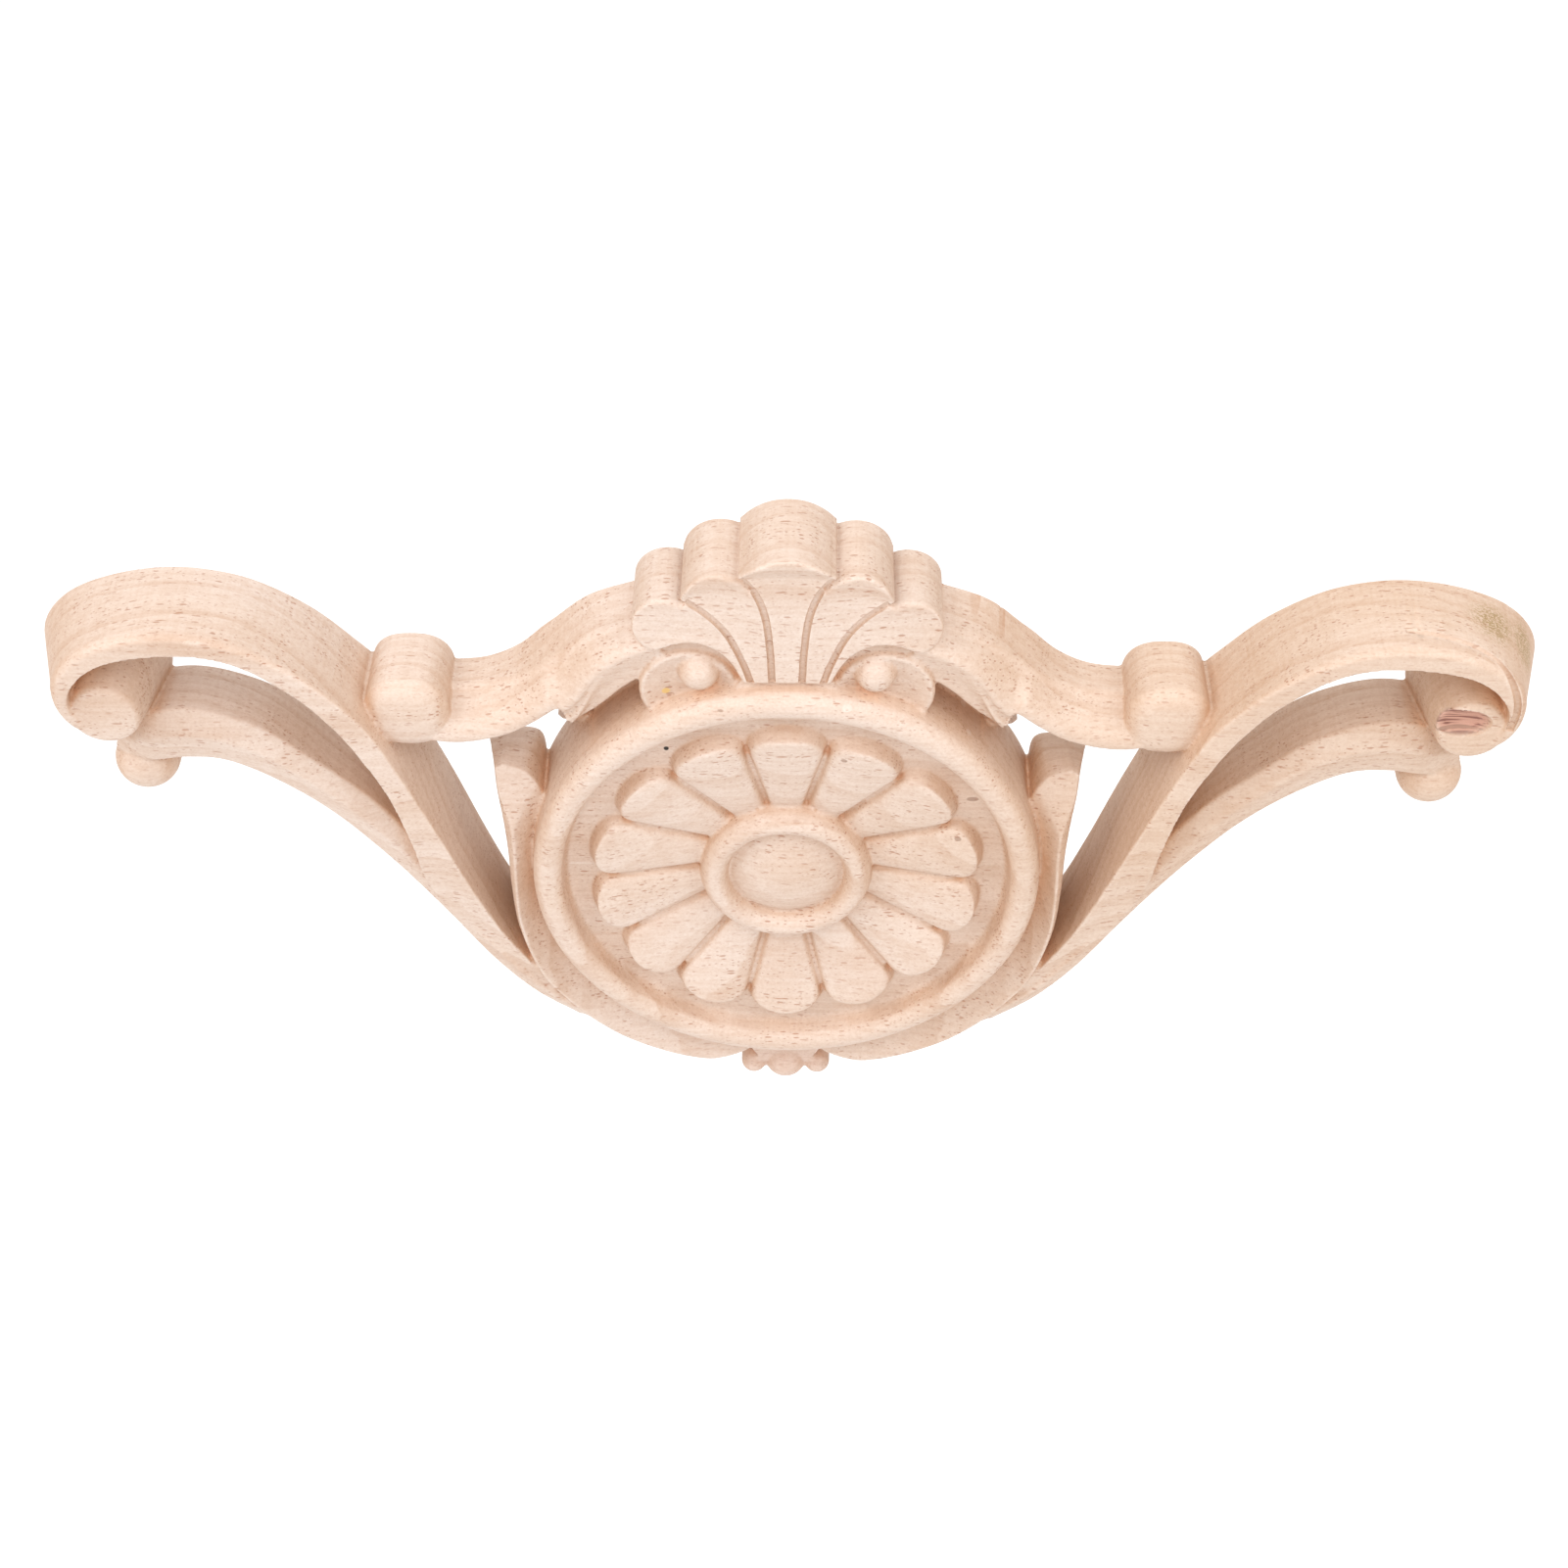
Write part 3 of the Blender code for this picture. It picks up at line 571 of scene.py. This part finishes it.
for side in (-1, 1):
    blocks.append(strip("c_scroll", side, C_UPPER, C_LOWER, 120, bellied, across=28))
    out, up, radius, rise = POST
    rows = []
    for a in np.arange(96) * 2 * math.pi / 96:
        c, d = math.cos(a), math.sin(a)
        reach = (abs(c) ** POST_SQUARENESS + abs(d) ** POST_SQUARENESS) ** (-1 / POST_SQUARENESS)
        section = [(ON_AXIS, -BEHIND), (1.0, -BEHIND)]
        for r, y in bend(radius - POST_SHOULDER[0], rise - POST_SHOULDER[1], *POST_SHOULDER, 12, 90, 14):
            section.append(((r + 0.1) / radius, y))
        section += [(0.3, rise + 0.2), (ON_AXIS, rise + 0.25)]
        rows.append([(out + c * reach * radius * r, up + d * reach * radius * r, y) for r, y in section])
    blocks.append(block("c_scroll_post", rows, side, closed=True))
    blocks.append(strip("fold", side, FOLD_RIDGE, FOLD_FOOT, 48, hollowed, ease=0.25))
    blocks.append(strip("fold_web", side, WEB_IN, WEB_OUT, 16, across=4, ease=0.25))


# The husks that cup the ring from the leaf tips down to the beads: a sloped face with a narrow bevel
# along its rim.
HUSK_RIM = [(61.3, 25.4, 12.0, 3.0), (61.0, 20.4, 13.4, 1.0), (60.1, 12.6, 14.6), (59.5, 4.0, 15.6),
            (59.3, -6.0, 16.4), (58.3, -18.1, 16.8), (54.6, -32.1, 16.6), (49.3, -40.8, 16.4),
            (43.4, -47.8, 16.2), (36.2, -54.0, 16.0), (27.4, -58.6, 16.0), (20.7, -60.9, 15.8),
            (15.6, -61.4, 15.6), (10.1, -59.7, 15.0), (6.0, -57.0, 14.4)]
HUSK_VALLEY = [(59.4, 26.2, 12.6, 0.6), (54.6, 24.0, 12.6, 2.6), (51.4, 18.8, 12.8), (51.6, 10.0, 12.6),
               (52.8, -5.0, 12.8), (51.0, -14.6, 12.8), (45.4, -27.6, 12.8), (39.6, -35.4, 12.8),
               (34.4, -40.4, 12.9), (28.6, -44.5, 13.0), (21.6, -48.4, 13.2), (16.8, -50.2, 13.2),
               (12.4, -51.4, 13.2), (8.6, -52.2, 13.2), (4.6, -52.8, 13.0)]
RIM_BEVEL = (1.6, 2.2, 2.0, 1.6, 1.1, 0.9, 0.8, 0.8, 0.8, 0.8, 0.8)
RIM_LIFT = 2.1
TIP_FACET = ((56.9, 14.4, 15.4), (51.3, 16.7, 14.1), (57.5, 25.6, 11.9))


def bevelled(t, s, width):
    """A crest runs a little inside the rim, and the face falls from it to the ring."""
    bevel = np.interp(s, np.linspace(0, 1, len(RIM_BEVEL)), RIM_BEVEL)
    crest = 1 - min(bevel / width, 0.5)
    return RIM_LIFT * (t / crest) ** 1.3 if t < crest else RIM_LIFT * (1 - t) / (1 - crest)


def tip_facet(out, up):
    """The leaf's tip is planed back in one facet."""
    a, b, c = (np.array(p) for p in TIP_FACET)
    square = np.cross(b - a, c - a)
    return a[2] - (square[0] * (out - a[0]) + square[1] * (up - a[1])) / square[2]


for side in (-1, 1):
    blocks.append(strip("husk", side, HUSK_VALLEY, HUSK_RIM, 150, bevelled, across=24, ease=0.2,
                        under=tip_facet))


# Three small beads that hang below the ring from a short stem, carved from the lower edge of the board
# with the rest.
BEADS = [(0.0, -67.6, 4.8, 14.8), (7.3, -68.2, 2.9, 13.6)]
BEAD_STEM = [(-10.0, -52.0), (10.0, -52.0), (8.2, -62.0), (5.4, -67.0), (-5.4, -67.0), (-8.2, -62.0)]
BEAD_STEM_RISE = 12.4
blocks.append(domed("bead_middle", 1, BEADS[0], 4.8))
for side in (-1, 1):
    blocks.append(domed("bead_side", side, BEADS[1], 2.9))
blocks.append(slab("bead_stem", 1, BEAD_STEM, BEAD_STEM_RISE))


# One piece of wood: the blocks are run together, the grooves are cut, the back is sawn flat, and
# every edge is eased as fine sandpaper does.
GRAIN_OF_MESH = 0.36
EASING = 3
SHARP = math.radians(48)
MOST_FACES = 190000
BACK_FLAT = 0.00025
BOX_MARGIN = 0.00002


def run_together(name, things):
    """One object from many, in their order."""
    work = bmesh.new()
    for thing in things:
        work.from_mesh(thing.data)
        bpy.data.objects.remove(thing)
    data = bpy.data.meshes.new(name)
    work.to_mesh(data)
    work.free()
    joined = bpy.data.objects.new(name, data)
    bpy.context.scene.collection.objects.link(joined)
    return joined


def settle(thing):
    """Applies an object's modifiers to its mesh."""
    depsgraph = bpy.context.evaluated_depsgraph_get()
    data = bpy.data.meshes.new_from_object(thing.evaluated_get(depsgraph))
    thing.modifiers.clear()
    old = thing.data
    thing.data = data
    bpy.data.meshes.remove(old)


carving = run_together("carving", blocks)
fuse = carving.modifiers.new("fuse", "REMESH")
fuse.mode = "VOXEL"
fuse.voxel_size = GRAIN_OF_MESH * MM
settle(carving)

saw = [(-200.0, -120.0), (200.0, -120.0), (200.0, 120.0), (-200.0, 120.0)]
cuts.append(block("back_saw", [[(x, z, -9.0) for x, z in saw], [(x, z, 0.0) for x, z in saw]]))
cutter = run_together("cutter", cuts)
carve = carving.modifiers.new("carve", "BOOLEAN")
carve.operation = "DIFFERENCE"
carve.solver = "MANIFOLD"
carve.object = cutter
settle(carving)
bpy.data.objects.remove(cutter)

sand = carving.modifiers.new("sand", "SMOOTH")
sand.factor = 0.5
sand.iterations = EASING
settle(carving)
triangles = sum(len(p.vertices) - 2 for p in carving.data.polygons)
if triangles > MOST_FACES:
    thin = carving.modifiers.new("thin", "DECIMATE")
    thin.ratio = MOST_FACES / triangles
    settle(carving)

low, high = (np.array(v) for v in cad_box)
spots = np.empty(len(carving.data.vertices) * 3, np.float32)
carving.data.vertices.foreach_get("co", spots)
spots = spots.reshape(-1, 3)
back = np.abs(spots[:, 1]) < BACK_FLAT
spots[back, 1] = 0.0
spots = np.clip(spots, low + BOX_MARGIN, np.where([False, True, False], high, high - BOX_MARGIN))
carving.data.vertices.foreach_set("co", spots.astype(np.float32).ravel())
carving.data.update()
for face in carving.data.polygons:
    face.use_smooth = True
carving.data.materials.clear()
carving.data.materials.append(wood)

# Measures of the shape are kept on its points for the colour: how bent the surface is, above zero in a
# crease and below zero on an edge, how much of the view out of a hollow is closed, and how far the surface
# faces along the board or to the front. The first two set painted shade in creases and hollows, painted
# light in the deepest hollows and painted highlights along edges.
CREASE_SPREAD = 4
LOOK_OUT = 0.022
OFF_SURFACE = 0.0004
LOOKS = 14
facing = np.empty(len(spots) * 3, np.float32)
carving.data.vertices.foreach_get("normal", facing)
facing = facing.reshape(-1, 3)
pairs = np.empty(len(carving.data.edges) * 2, np.int32)
carving.data.edges.foreach_get("vertices", pairs)
here, there = (np.concatenate(ends) for ends in zip(pairs.reshape(-1, 2).T, pairs.reshape(-1, 2).T[::-1]))
neighbours = np.bincount(here, minlength=len(spots))
step = spots[there] - spots[here]
bent = np.bincount(here, (step * facing[here]).sum(1) / (step ** 2).sum(1), len(spots)) / neighbours * MM
for _ in range(CREASE_SPREAD):
    bent = 0.5 * bent + 0.5 * np.bincount(here, bent[there], len(spots)) / neighbours
surface = BVHTree.FromObject(carving, bpy.context.evaluated_depsgraph_get())
closed = np.zeros(len(spots))
golden = math.pi * (3 - math.sqrt(5))
for n in range(LOOKS):
    tall = math.sqrt(1 - (n + 0.5) / LOOKS)
    flat = math.sqrt(1 - tall ** 2)
    toward = np.array([flat * math.cos(golden * n), flat * math.sin(golden * n), tall])
    side_way = np.cross(facing, np.where(np.abs(facing[:, 2:]) < 0.7, (0.0, 0.0, 1.0), (1.0, 0.0, 0.0)))
    side_way /= np.maximum(np.linalg.norm(side_way, axis=1), 1e-9)[:, None]
    up_way = np.cross(facing, side_way)
    aims = side_way * toward[0] + up_way * toward[1] + facing * toward[2]
    for k, (spot, aim) in enumerate(zip((spots + facing * OFF_SURFACE).tolist(), aims.tolist())):
        reach = surface.ray_cast(spot, aim, LOOK_OUT)[3]
        if reach is not None:
            closed[k] += (1 - reach / LOOK_OUT) / LOOKS
for _ in range(4):
    closed = 0.4 * closed + 0.6 * np.bincount(here, closed[there], len(spots)) / neighbours
for label, values in (("bent", bent), ("closed", closed), ("end_on", np.abs(facing[:, 0])),
                      ("front_on", np.abs(facing[:, 1]))):
    kept = carving.data.attributes.new(label, "FLOAT", "POINT")
    kept.data.foreach_set("value", values.astype(np.float32))
carving.data.set_sharp_from_angle(angle=SHARP)
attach(carving, "root")
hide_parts("applique")


# Bare rubberwood, sanded and left without finish: pale cream growth bands tinged with pink, short brown
# pores that run along the board and tanner end grain, with painted shade in creases and hollows, painted
# light in the deepest hollows and painted highlights along edges.
LIGHT_WOOD = (0.735, 0.600, 0.516, 1.0)
TAN_WOOD = (0.610, 0.430, 0.325, 1.0)
PORE = (0.420, 0.195, 0.115, 1.0)


def effect(name, outputs):
    """A shader node group that takes a place on the wood in millimetres and puts out named masks."""
    group = bpy.data.node_groups.new(name, "ShaderNodeTree")
    group.interface.new_socket("Place", in_out="INPUT", socket_type="NodeSocketVector")
    for label in outputs:
        group.interface.new_socket(label, in_out="OUTPUT", socket_type="NodeSocketFloat")
    place = group.nodes.new("NodeGroupInput").outputs["Place"]
    return group, place, group.nodes.new("NodeGroupOutput").inputs


def add(tree, kind, values, out=0, **settings):
    """A node with its settings, fed by sockets or by plain values. Returns one of its outputs."""
    node = tree.nodes.new(kind)
    for label, value in settings.items():
        setattr(node, label, value)
    for slot, value in (values.items() if isinstance(values, dict) else enumerate(values)):
        if isinstance(value, bpy.types.NodeSocket):
            tree.links.new(value, node.inputs[slot])
        elif value is not None:
            node.inputs[slot].default_value = value
    return node.outputs[out]


def sum_of(tree, operation, *values):
    """A sum, product or other Math node of its values."""
    return add(tree, "ShaderNodeMath", values, operation=operation)


def ramp(tree, value, low, high, to_low=0.0, to_high=1.0):
    """A soft step of a value between two levels, which may run downwards."""
    return add(tree, "ShaderNodeMapRange", (value, low, high, to_low, to_high),
               interpolation_type="SMOOTHSTEP")


def stretched(tree, place, by):
    """The place multiplied along each axis."""
    return add(tree, "ShaderNodeVectorMath", (place, by), operation="MULTIPLY")


def cloudy(tree, place, by, detail=2.0, rough=0.5):
    """Noise of about 0 to 1, stretched over the place."""
    return add(tree, "ShaderNodeTexNoise", {"Vector": stretched(tree, place, by), "Scale": 1.0,
                                            "Detail": detail, "Roughness": rough})


# Growth bands lie nearly level with the back, so they follow the outline on every wall and wander on
# the front.
BAND_STEP = 3.1
BAND_SLANT = math.radians(76)
bands, place, made = effect("growth_bands", ("Tan", "Zone"))
across = add(bands, "ShaderNodeVectorMath",
             (place, (0, -math.sin(BAND_SLANT) / BAND_STEP, math.cos(BAND_SLANT) / BAND_STEP)),
             "Value", operation="DOT_PRODUCT")
drift = sum_of(bands, "MULTIPLY", cloudy(bands, place, (0.010, 0.018, 0.018), 1.0), 6.0)
waver = sum_of(bands, "MULTIPLY", cloudy(bands, place, (0.04, 0.12, 0.12)), 0.8)
year = sum_of(bands, "ADD", sum_of(bands, "ADD", across, drift), waver)
late = sum_of(bands, "FRACT", year)
strength = add(bands, "ShaderNodeTexWhiteNoise", {"W": sum_of(bands, "FLOOR", year)}, noise_dimensions="1D")
rising = sum_of(bands, "MULTIPLY", ramp(bands, late, 0.15, 0.90), ramp(bands, late, 1.0, 0.93))
band = sum_of(bands, "MULTIPLY", rising, ramp(bands, strength, 0.1, 1.0))
fine = ramp(bands, cloudy(bands, place, (0.030, 1.1, 1.1), 3.0), 0.40, 0.64)
tan = sum_of(bands, "ADD", sum_of(bands, "MULTIPLY", band, 0.46), sum_of(bands, "MULTIPLY", fine, 0.28))
bands.links.new(tan, made["Tan"])
bands.links.new(ramp(bands, cloudy(bands, place, (0.012, 0.04, 0.04), 1.0), 0.35, 0.65), made["Zone"])

# Pores are fine tubes along the board: dashes on the front and dots on the end grain.
# Each kind is (how close they lie, the size of a pore in its cell, the share of cells left empty).
PORE_KINDS = (((0.30, 1.25, 1.25), 0.30, 0.46), ((0.17, 1.1, 1.1), 0.25, 0.64),
              ((0.80, 1.9, 1.9), 0.30, 0.42))
pores, place, made = effect("pores", ("Pore",))
sway = sum_of(pores, "MULTIPLY", cloudy(pores, place, (0.02, 0.05, 0.05)), 9.0)
veer = add(pores, "ShaderNodeCombineXYZ", (0.0, 0.0, sway))
leaning = add(pores, "ShaderNodeVectorMath", (place, veer), operation="ADD")
found = []
for size, reach, share in PORE_KINDS:
    cells = pores.nodes.new("ShaderNodeTexVoronoi")
    cells.inputs["Scale"].default_value = 1.0
    pores.links.new(stretched(pores, leaning, size), cells.inputs["Vector"])
    chosen = add(pores, "ShaderNodeSeparateColor", (cells.outputs["Color"],))
    dash = ramp(pores, cells.outputs["Distance"], reach, reach * 0.55)
    found.append(sum_of(pores, "MULTIPLY", dash, ramp(pores, chosen, share, share + 0.16)))
patchy = ramp(pores, cloudy(pores, place, (0.03, 0.12, 0.12)), 0.38, 0.62, 0.35, 1.0)
large = sum_of(pores, "MAXIMUM", found[0], found[1])
every = sum_of(pores, "MAXIMUM", large, sum_of(pores, "MULTIPLY", found[2], 0.75))
pores.links.new(sum_of(pores, "MULTIPLY", every, patchy), made["Pore"])

# The cutter leaves fine ridges that run from front to back on every wall, and sanding raises a short fuzz.
tool, place, made = effect("tool_marks", ("Ridge", "Fuzz"))
tool.links.new(cloudy(tool, place, (1.15, 0.04, 1.15), 1.0), made["Ridge"])
tool.links.new(cloudy(tool, place, (1.6, 2.4, 2.4), 1.0, 0.6), made["Fuzz"])

# Marks of this one piece: greenish dirt on the right scroll, torn fibre in its button, a drop of resin
# on the left volute, one black speck and a few dark ones on the disc and petals, white flecks beside the
# ring, and a pinker foot. Each mark is a list of patches, (middle, reach) along the three axes.
DIRT = (((141.5, -8.0, 64.4), (9.0, 7.5, 5.0)), ((148.6, -8.0, 58.6), (5.0, 8.5, 6.0)))
TORN_FIBRE = (((TORN[0], -BUTTON[3] + 0.9, TORN[1]), (TORN[2] * 1.05, 2.2, TORN[3] * 1.1)),)
RESIN = (((-24.5, -15.2, 50.3), (1.0, 1.0, 0.8)),)
BLACK = (((-24.8, -16.2, 35.3), (0.62, 0.8, 0.62)),)
DARK = (((135.0, -18.4, 45.8), (5.2, 2.4, 0.45)), ((38.9, -16.2, 21.8), (1.5, 1.0, 0.7)),
        ((11.8, -19.6, 35.6), (0.8, 1.0, 0.6)), ((36.1, -19.6, 13.6), (0.9, 1.0, 0.7)),
        ((-13.2, -20.6, 50.6), (1.1, 1.4, 0.5)))
FLECK = (((37.3, -14.4, 39.2), (0.9, 0.9, 0.7)), ((36.5, -7.1, 40.5), (1.0, 1.0, 0.8)),
         ((12.1, -21.1, 51.4), (1.2, 1.0, 1.0)), ((-44.0, -16.2, 1.5), (3.4, 0.6, 0.35)))
marks, place, made = effect("marks", ("Dirt", "Torn", "Resin", "Black", "Dark", "Fleck", "Foot"))
for label, patches in (("Dirt", DIRT), ("Torn", TORN_FIBRE), ("Resin", RESIN), ("Black", BLACK),
                       ("Dark", DARK), ("Fleck", FLECK)):
    inner = 0.2 if label == "Dirt" else 0.7
    mask = None
    for middle, reach in patches:
        away = add(marks, "ShaderNodeVectorMath", (place, middle), operation="SUBTRACT")
        shrunk = stretched(marks, away, tuple(1 / r for r in reach))
        far = add(marks, "ShaderNodeVectorMath", (shrunk,), "Value", operation="LENGTH")
        one = ramp(marks, far, 1.0, inner)
        mask = one if mask is None else sum_of(marks, "MAXIMUM", mask, one)
    marks.links.new(mask, made[label])
height = add(marks, "ShaderNodeSeparateXYZ", (place,), "Z")
marks.links.new(ramp(marks, height, -59.0, -65.0), made["Foot"])

skin = wood.node_tree
shader = skin.nodes["Principled BSDF"]
on_piece = add(skin, "ShaderNodeTexCoord", (), "Object")
place = add(skin, "ShaderNodeVectorMath", {0: on_piece, "Scale": 1 / MM}, operation="SCALE")


def masks(group):
    """The outputs of an effect, laid on the wood."""
    node = skin.nodes.new("ShaderNodeGroup")
    node.node_tree = group
    skin.links.new(place, node.inputs["Place"])
    return node.outputs


def blended(base, colour, share, how="MIX"):
    """The base colour moved towards another by a share, or multiplied by it."""
    node = skin.nodes.new("ShaderNodeMix")
    node.data_type = "RGBA"
    node.blend_type = how
    skin.links.new(share, node.inputs["Factor"])
    for slot, value in (("A", base), ("B", colour)):
        socket = [i for i in node.inputs if i.name == slot and i.type == "RGBA"][0]
        if isinstance(value, bpy.types.NodeSocket):
            skin.links.new(value, socket)
        else:
            socket.default_value = value
    return [o for o in node.outputs if o.type == "RGBA"][0]


def share_of(mask, most):
    """A mask that reaches no higher than a share."""
    return sum_of(skin, "MULTIPLY", mask, most)


years, tubes, tooled, own = masks(bands), masks(pores), masks(tool), masks(marks)
bent = add(skin, "ShaderNodeAttribute", (), "Fac", attribute_name="bent")
closed = add(skin, "ShaderNodeAttribute", (), "Fac", attribute_name="closed")
end_on = add(skin, "ShaderNodeAttribute", (), "Fac", attribute_name="end_on")
front_on = add(skin, "ShaderNodeAttribute", (), "Fac", attribute_name="front_on")
sideways = add(skin, "ShaderNodeSeparateXYZ", (place,), "X")
# Each line lays one thing over the wood: its colour, where it lies and how strong it is.
colour = blended(LIGHT_WOOD, TAN_WOOD, years["Tan"])
colour = blended(colour, (0.965, 0.935, 0.90, 1.0), years["Zone"], "MULTIPLY")
colour = blended(colour, (0.955, 0.905, 0.84, 1.0), ramp(skin, sideways, 0.0, 90.0), "MULTIPLY")
colour = blended(colour, (0.92, 0.85, 0.78, 1.0), ramp(skin, end_on, 0.25, 0.85), "MULTIPLY")
# Painted shade: hollows turn darker and warmer as more of their view is closed.
colour = blended(colour, (0.975, 0.89, 0.80, 1.0), ramp(skin, closed, 0.12, 0.60), "MULTIPLY")
# Painted light: the most closed hollows are lightened again.
colour = blended(colour, (1.26, 1.24, 1.20, 1.0), ramp(skin, closed, 0.42, 0.80), "MULTIPLY")
colour = blended(colour, (0.97, 0.90, 0.87, 1.0), own["Foot"], "MULTIPLY")
# Painted shade in creases, weaker on walls that run from front to back.
crease = sum_of(skin, "MULTIPLY", ramp(skin, bent, 0.14, 0.60), ramp(skin, front_on, 0.0, 0.5, 0.3, 1.0))
colour = blended(colour, (0.87, 0.75, 0.66, 1.0), crease, "MULTIPLY")
# Painted highlight: a lighter line along edges.
colour = blended(colour, (0.88, 0.79, 0.72, 1.0), share_of(ramp(skin, bent, -0.12, -0.50), 0.2))
colour = blended(colour, (0.975, 0.96, 0.945, 1.0), ramp(skin, tooled["Ridge"], 0.62, 0.35), "MULTIPLY")
colour = blended(colour, (0.955, 0.93, 0.91, 1.0), ramp(skin, tooled["Fuzz"], 0.60, 0.36), "MULTIPLY")
colour = blended(colour, PORE, share_of(tubes["Pore"], 0.75))
speckled = sum_of(skin, "MULTIPLY", own["Dirt"], ramp(skin, tooled["Fuzz"], 0.58, 0.42, 0.15, 1.0))
colour = blended(colour, (0.36, 0.235, 0.10, 1.0), share_of(speckled, 0.95))
fibre = cloudy(skin, place, (0.12, 1.0, 1.7), 2.0)
torn = blended((0.58, 0.30, 0.22, 1.0), (0.20, 0.06, 0.04, 1.0), ramp(skin, fibre, 0.54, 0.38))
colour = blended(colour, torn, share_of(own["Torn"], 0.9))
colour = blended(colour, (0.78, 0.52, 0.14, 1.0), share_of(own["Resin"], 0.75))
colour = blended(colour, (0.02, 0.015, 0.01, 1.0), own["Black"])
colour = blended(colour, (0.32, 0.19, 0.13, 1.0), share_of(own["Dark"], 0.7))
colour = blended(colour, (0.90, 0.84, 0.78, 1.0), share_of(own["Fleck"], 0.22))
skin.links.new(colour, shader.inputs["Base Color"])
skin.links.new(ramp(skin, years["Tan"], 0.0, 1.0, 0.58, 0.70), shader.inputs["Roughness"])
height = sum_of(skin, "ADD", share_of(tooled["Ridge"], 0.5), share_of(tooled["Fuzz"], 0.5))
height = sum_of(skin, "SUBTRACT", height, tubes["Pore"])
splinters = sum_of(skin, "MULTIPLY", own["Torn"], sum_of(skin, "MULTIPLY", fibre, 6.0))
height = sum_of(skin, "ADD", height, splinters)
bump = add(skin, "ShaderNodeBump", {"Strength": 0.5, "Distance": 0.00016, "Height": height})
skin.links.new(bump, shader.inputs["Normal"])


# The stage: a pale floor far below the piece, an even white surround, one broad soft light from the
# photo's side and one above each end, as in a studio tent. The left one is the stronger.
LIGHT_SIZE = 1.2
floor_data = bpy.data.meshes.new("floor")
floor_data.from_pydata([(-9, -9, -0.9), (9, -9, -0.9), (9, 9, -0.9), (-9, 9, -0.9)], [], [(0, 1, 2, 3)])
floor = bpy.data.objects.new("floor", floor_data)
bpy.context.scene.collection.objects.link(floor)
pale = bpy.data.materials.new("pale_floor")
pale.use_nodes = True
for label, value in (("Base Color", (0.95, 0.95, 0.95, 1.0)), ("Roughness", 0.9),
                     ("Emission Color", (1.0, 1.0, 1.0, 1.0)), ("Emission Strength", 0.22)):
    pale.node_tree.nodes["Principled BSDF"].inputs[label].default_value = value
floor_data.materials.append(pale)

room = bpy.data.worlds.new("room")
room.use_nodes = True
room.node_tree.nodes["Background"].inputs["Color"].default_value = (1.0, 1.0, 1.0, 1.0)
room.node_tree.nodes["Background"].inputs["Strength"].default_value = 0.77
bpy.context.scene.world = room
bpy.context.scene.view_settings.view_transform = "Standard"


def soft_light(name, place, power):
    """A square soft light that faces the middle of the rosette's back."""
    data = bpy.data.lights.new(name, "AREA")
    data.size = LIGHT_SIZE
    data.energy = power
    light = bpy.data.objects.new(name, data)
    light.location = place
    light.rotation_euler = (-Vector(place)).to_track_quat("-Z", "Y").to_euler()
    bpy.context.scene.collection.objects.link(light)


soft_light("front_light", (0, -1.3, 1.25), 12.0)
soft_light("left_light", (-1.2, -0.4, 1.3), 13.5)
soft_light("right_light", (1.2, -0.4, 1.3), 9.3)


# The camera stands where the photographer did, above the piece and in front of it. Its lens, distance
# and tilt were fitted to the ring, the petals and the mirrored places of both halves.
TARGET = Vector((-0.58, -12.0, 21.56)) * MM
ELEVATION = math.radians(43.56)
SIDEWAYS = math.radians(0.63)
ROLL = math.radians(0.22)
DISTANCE = 0.575
camera_data = bpy.data.cameras.new("camera")
camera_data.sensor_width = 36.0
camera_data.lens = 62.79
camera_data.clip_start = 0.01
camera_data.clip_end = 20.0
camera = bpy.data.objects.new("camera", camera_data)
direction = Vector((math.sin(SIDEWAYS) * math.cos(ELEVATION), -math.cos(SIDEWAYS) * math.cos(ELEVATION),
                    math.sin(ELEVATION)))
camera.location = TARGET + direction * DISTANCE
aimed = (-direction).to_track_quat("-Z", "Y").to_matrix().to_4x4()
camera.matrix_world = Matrix.Translation(camera.location) @ aimed @ Matrix.Rotation(ROLL, 4, "Z")
bpy.context.scene.collection.objects.link(camera)
bpy.context.scene.camera = camera
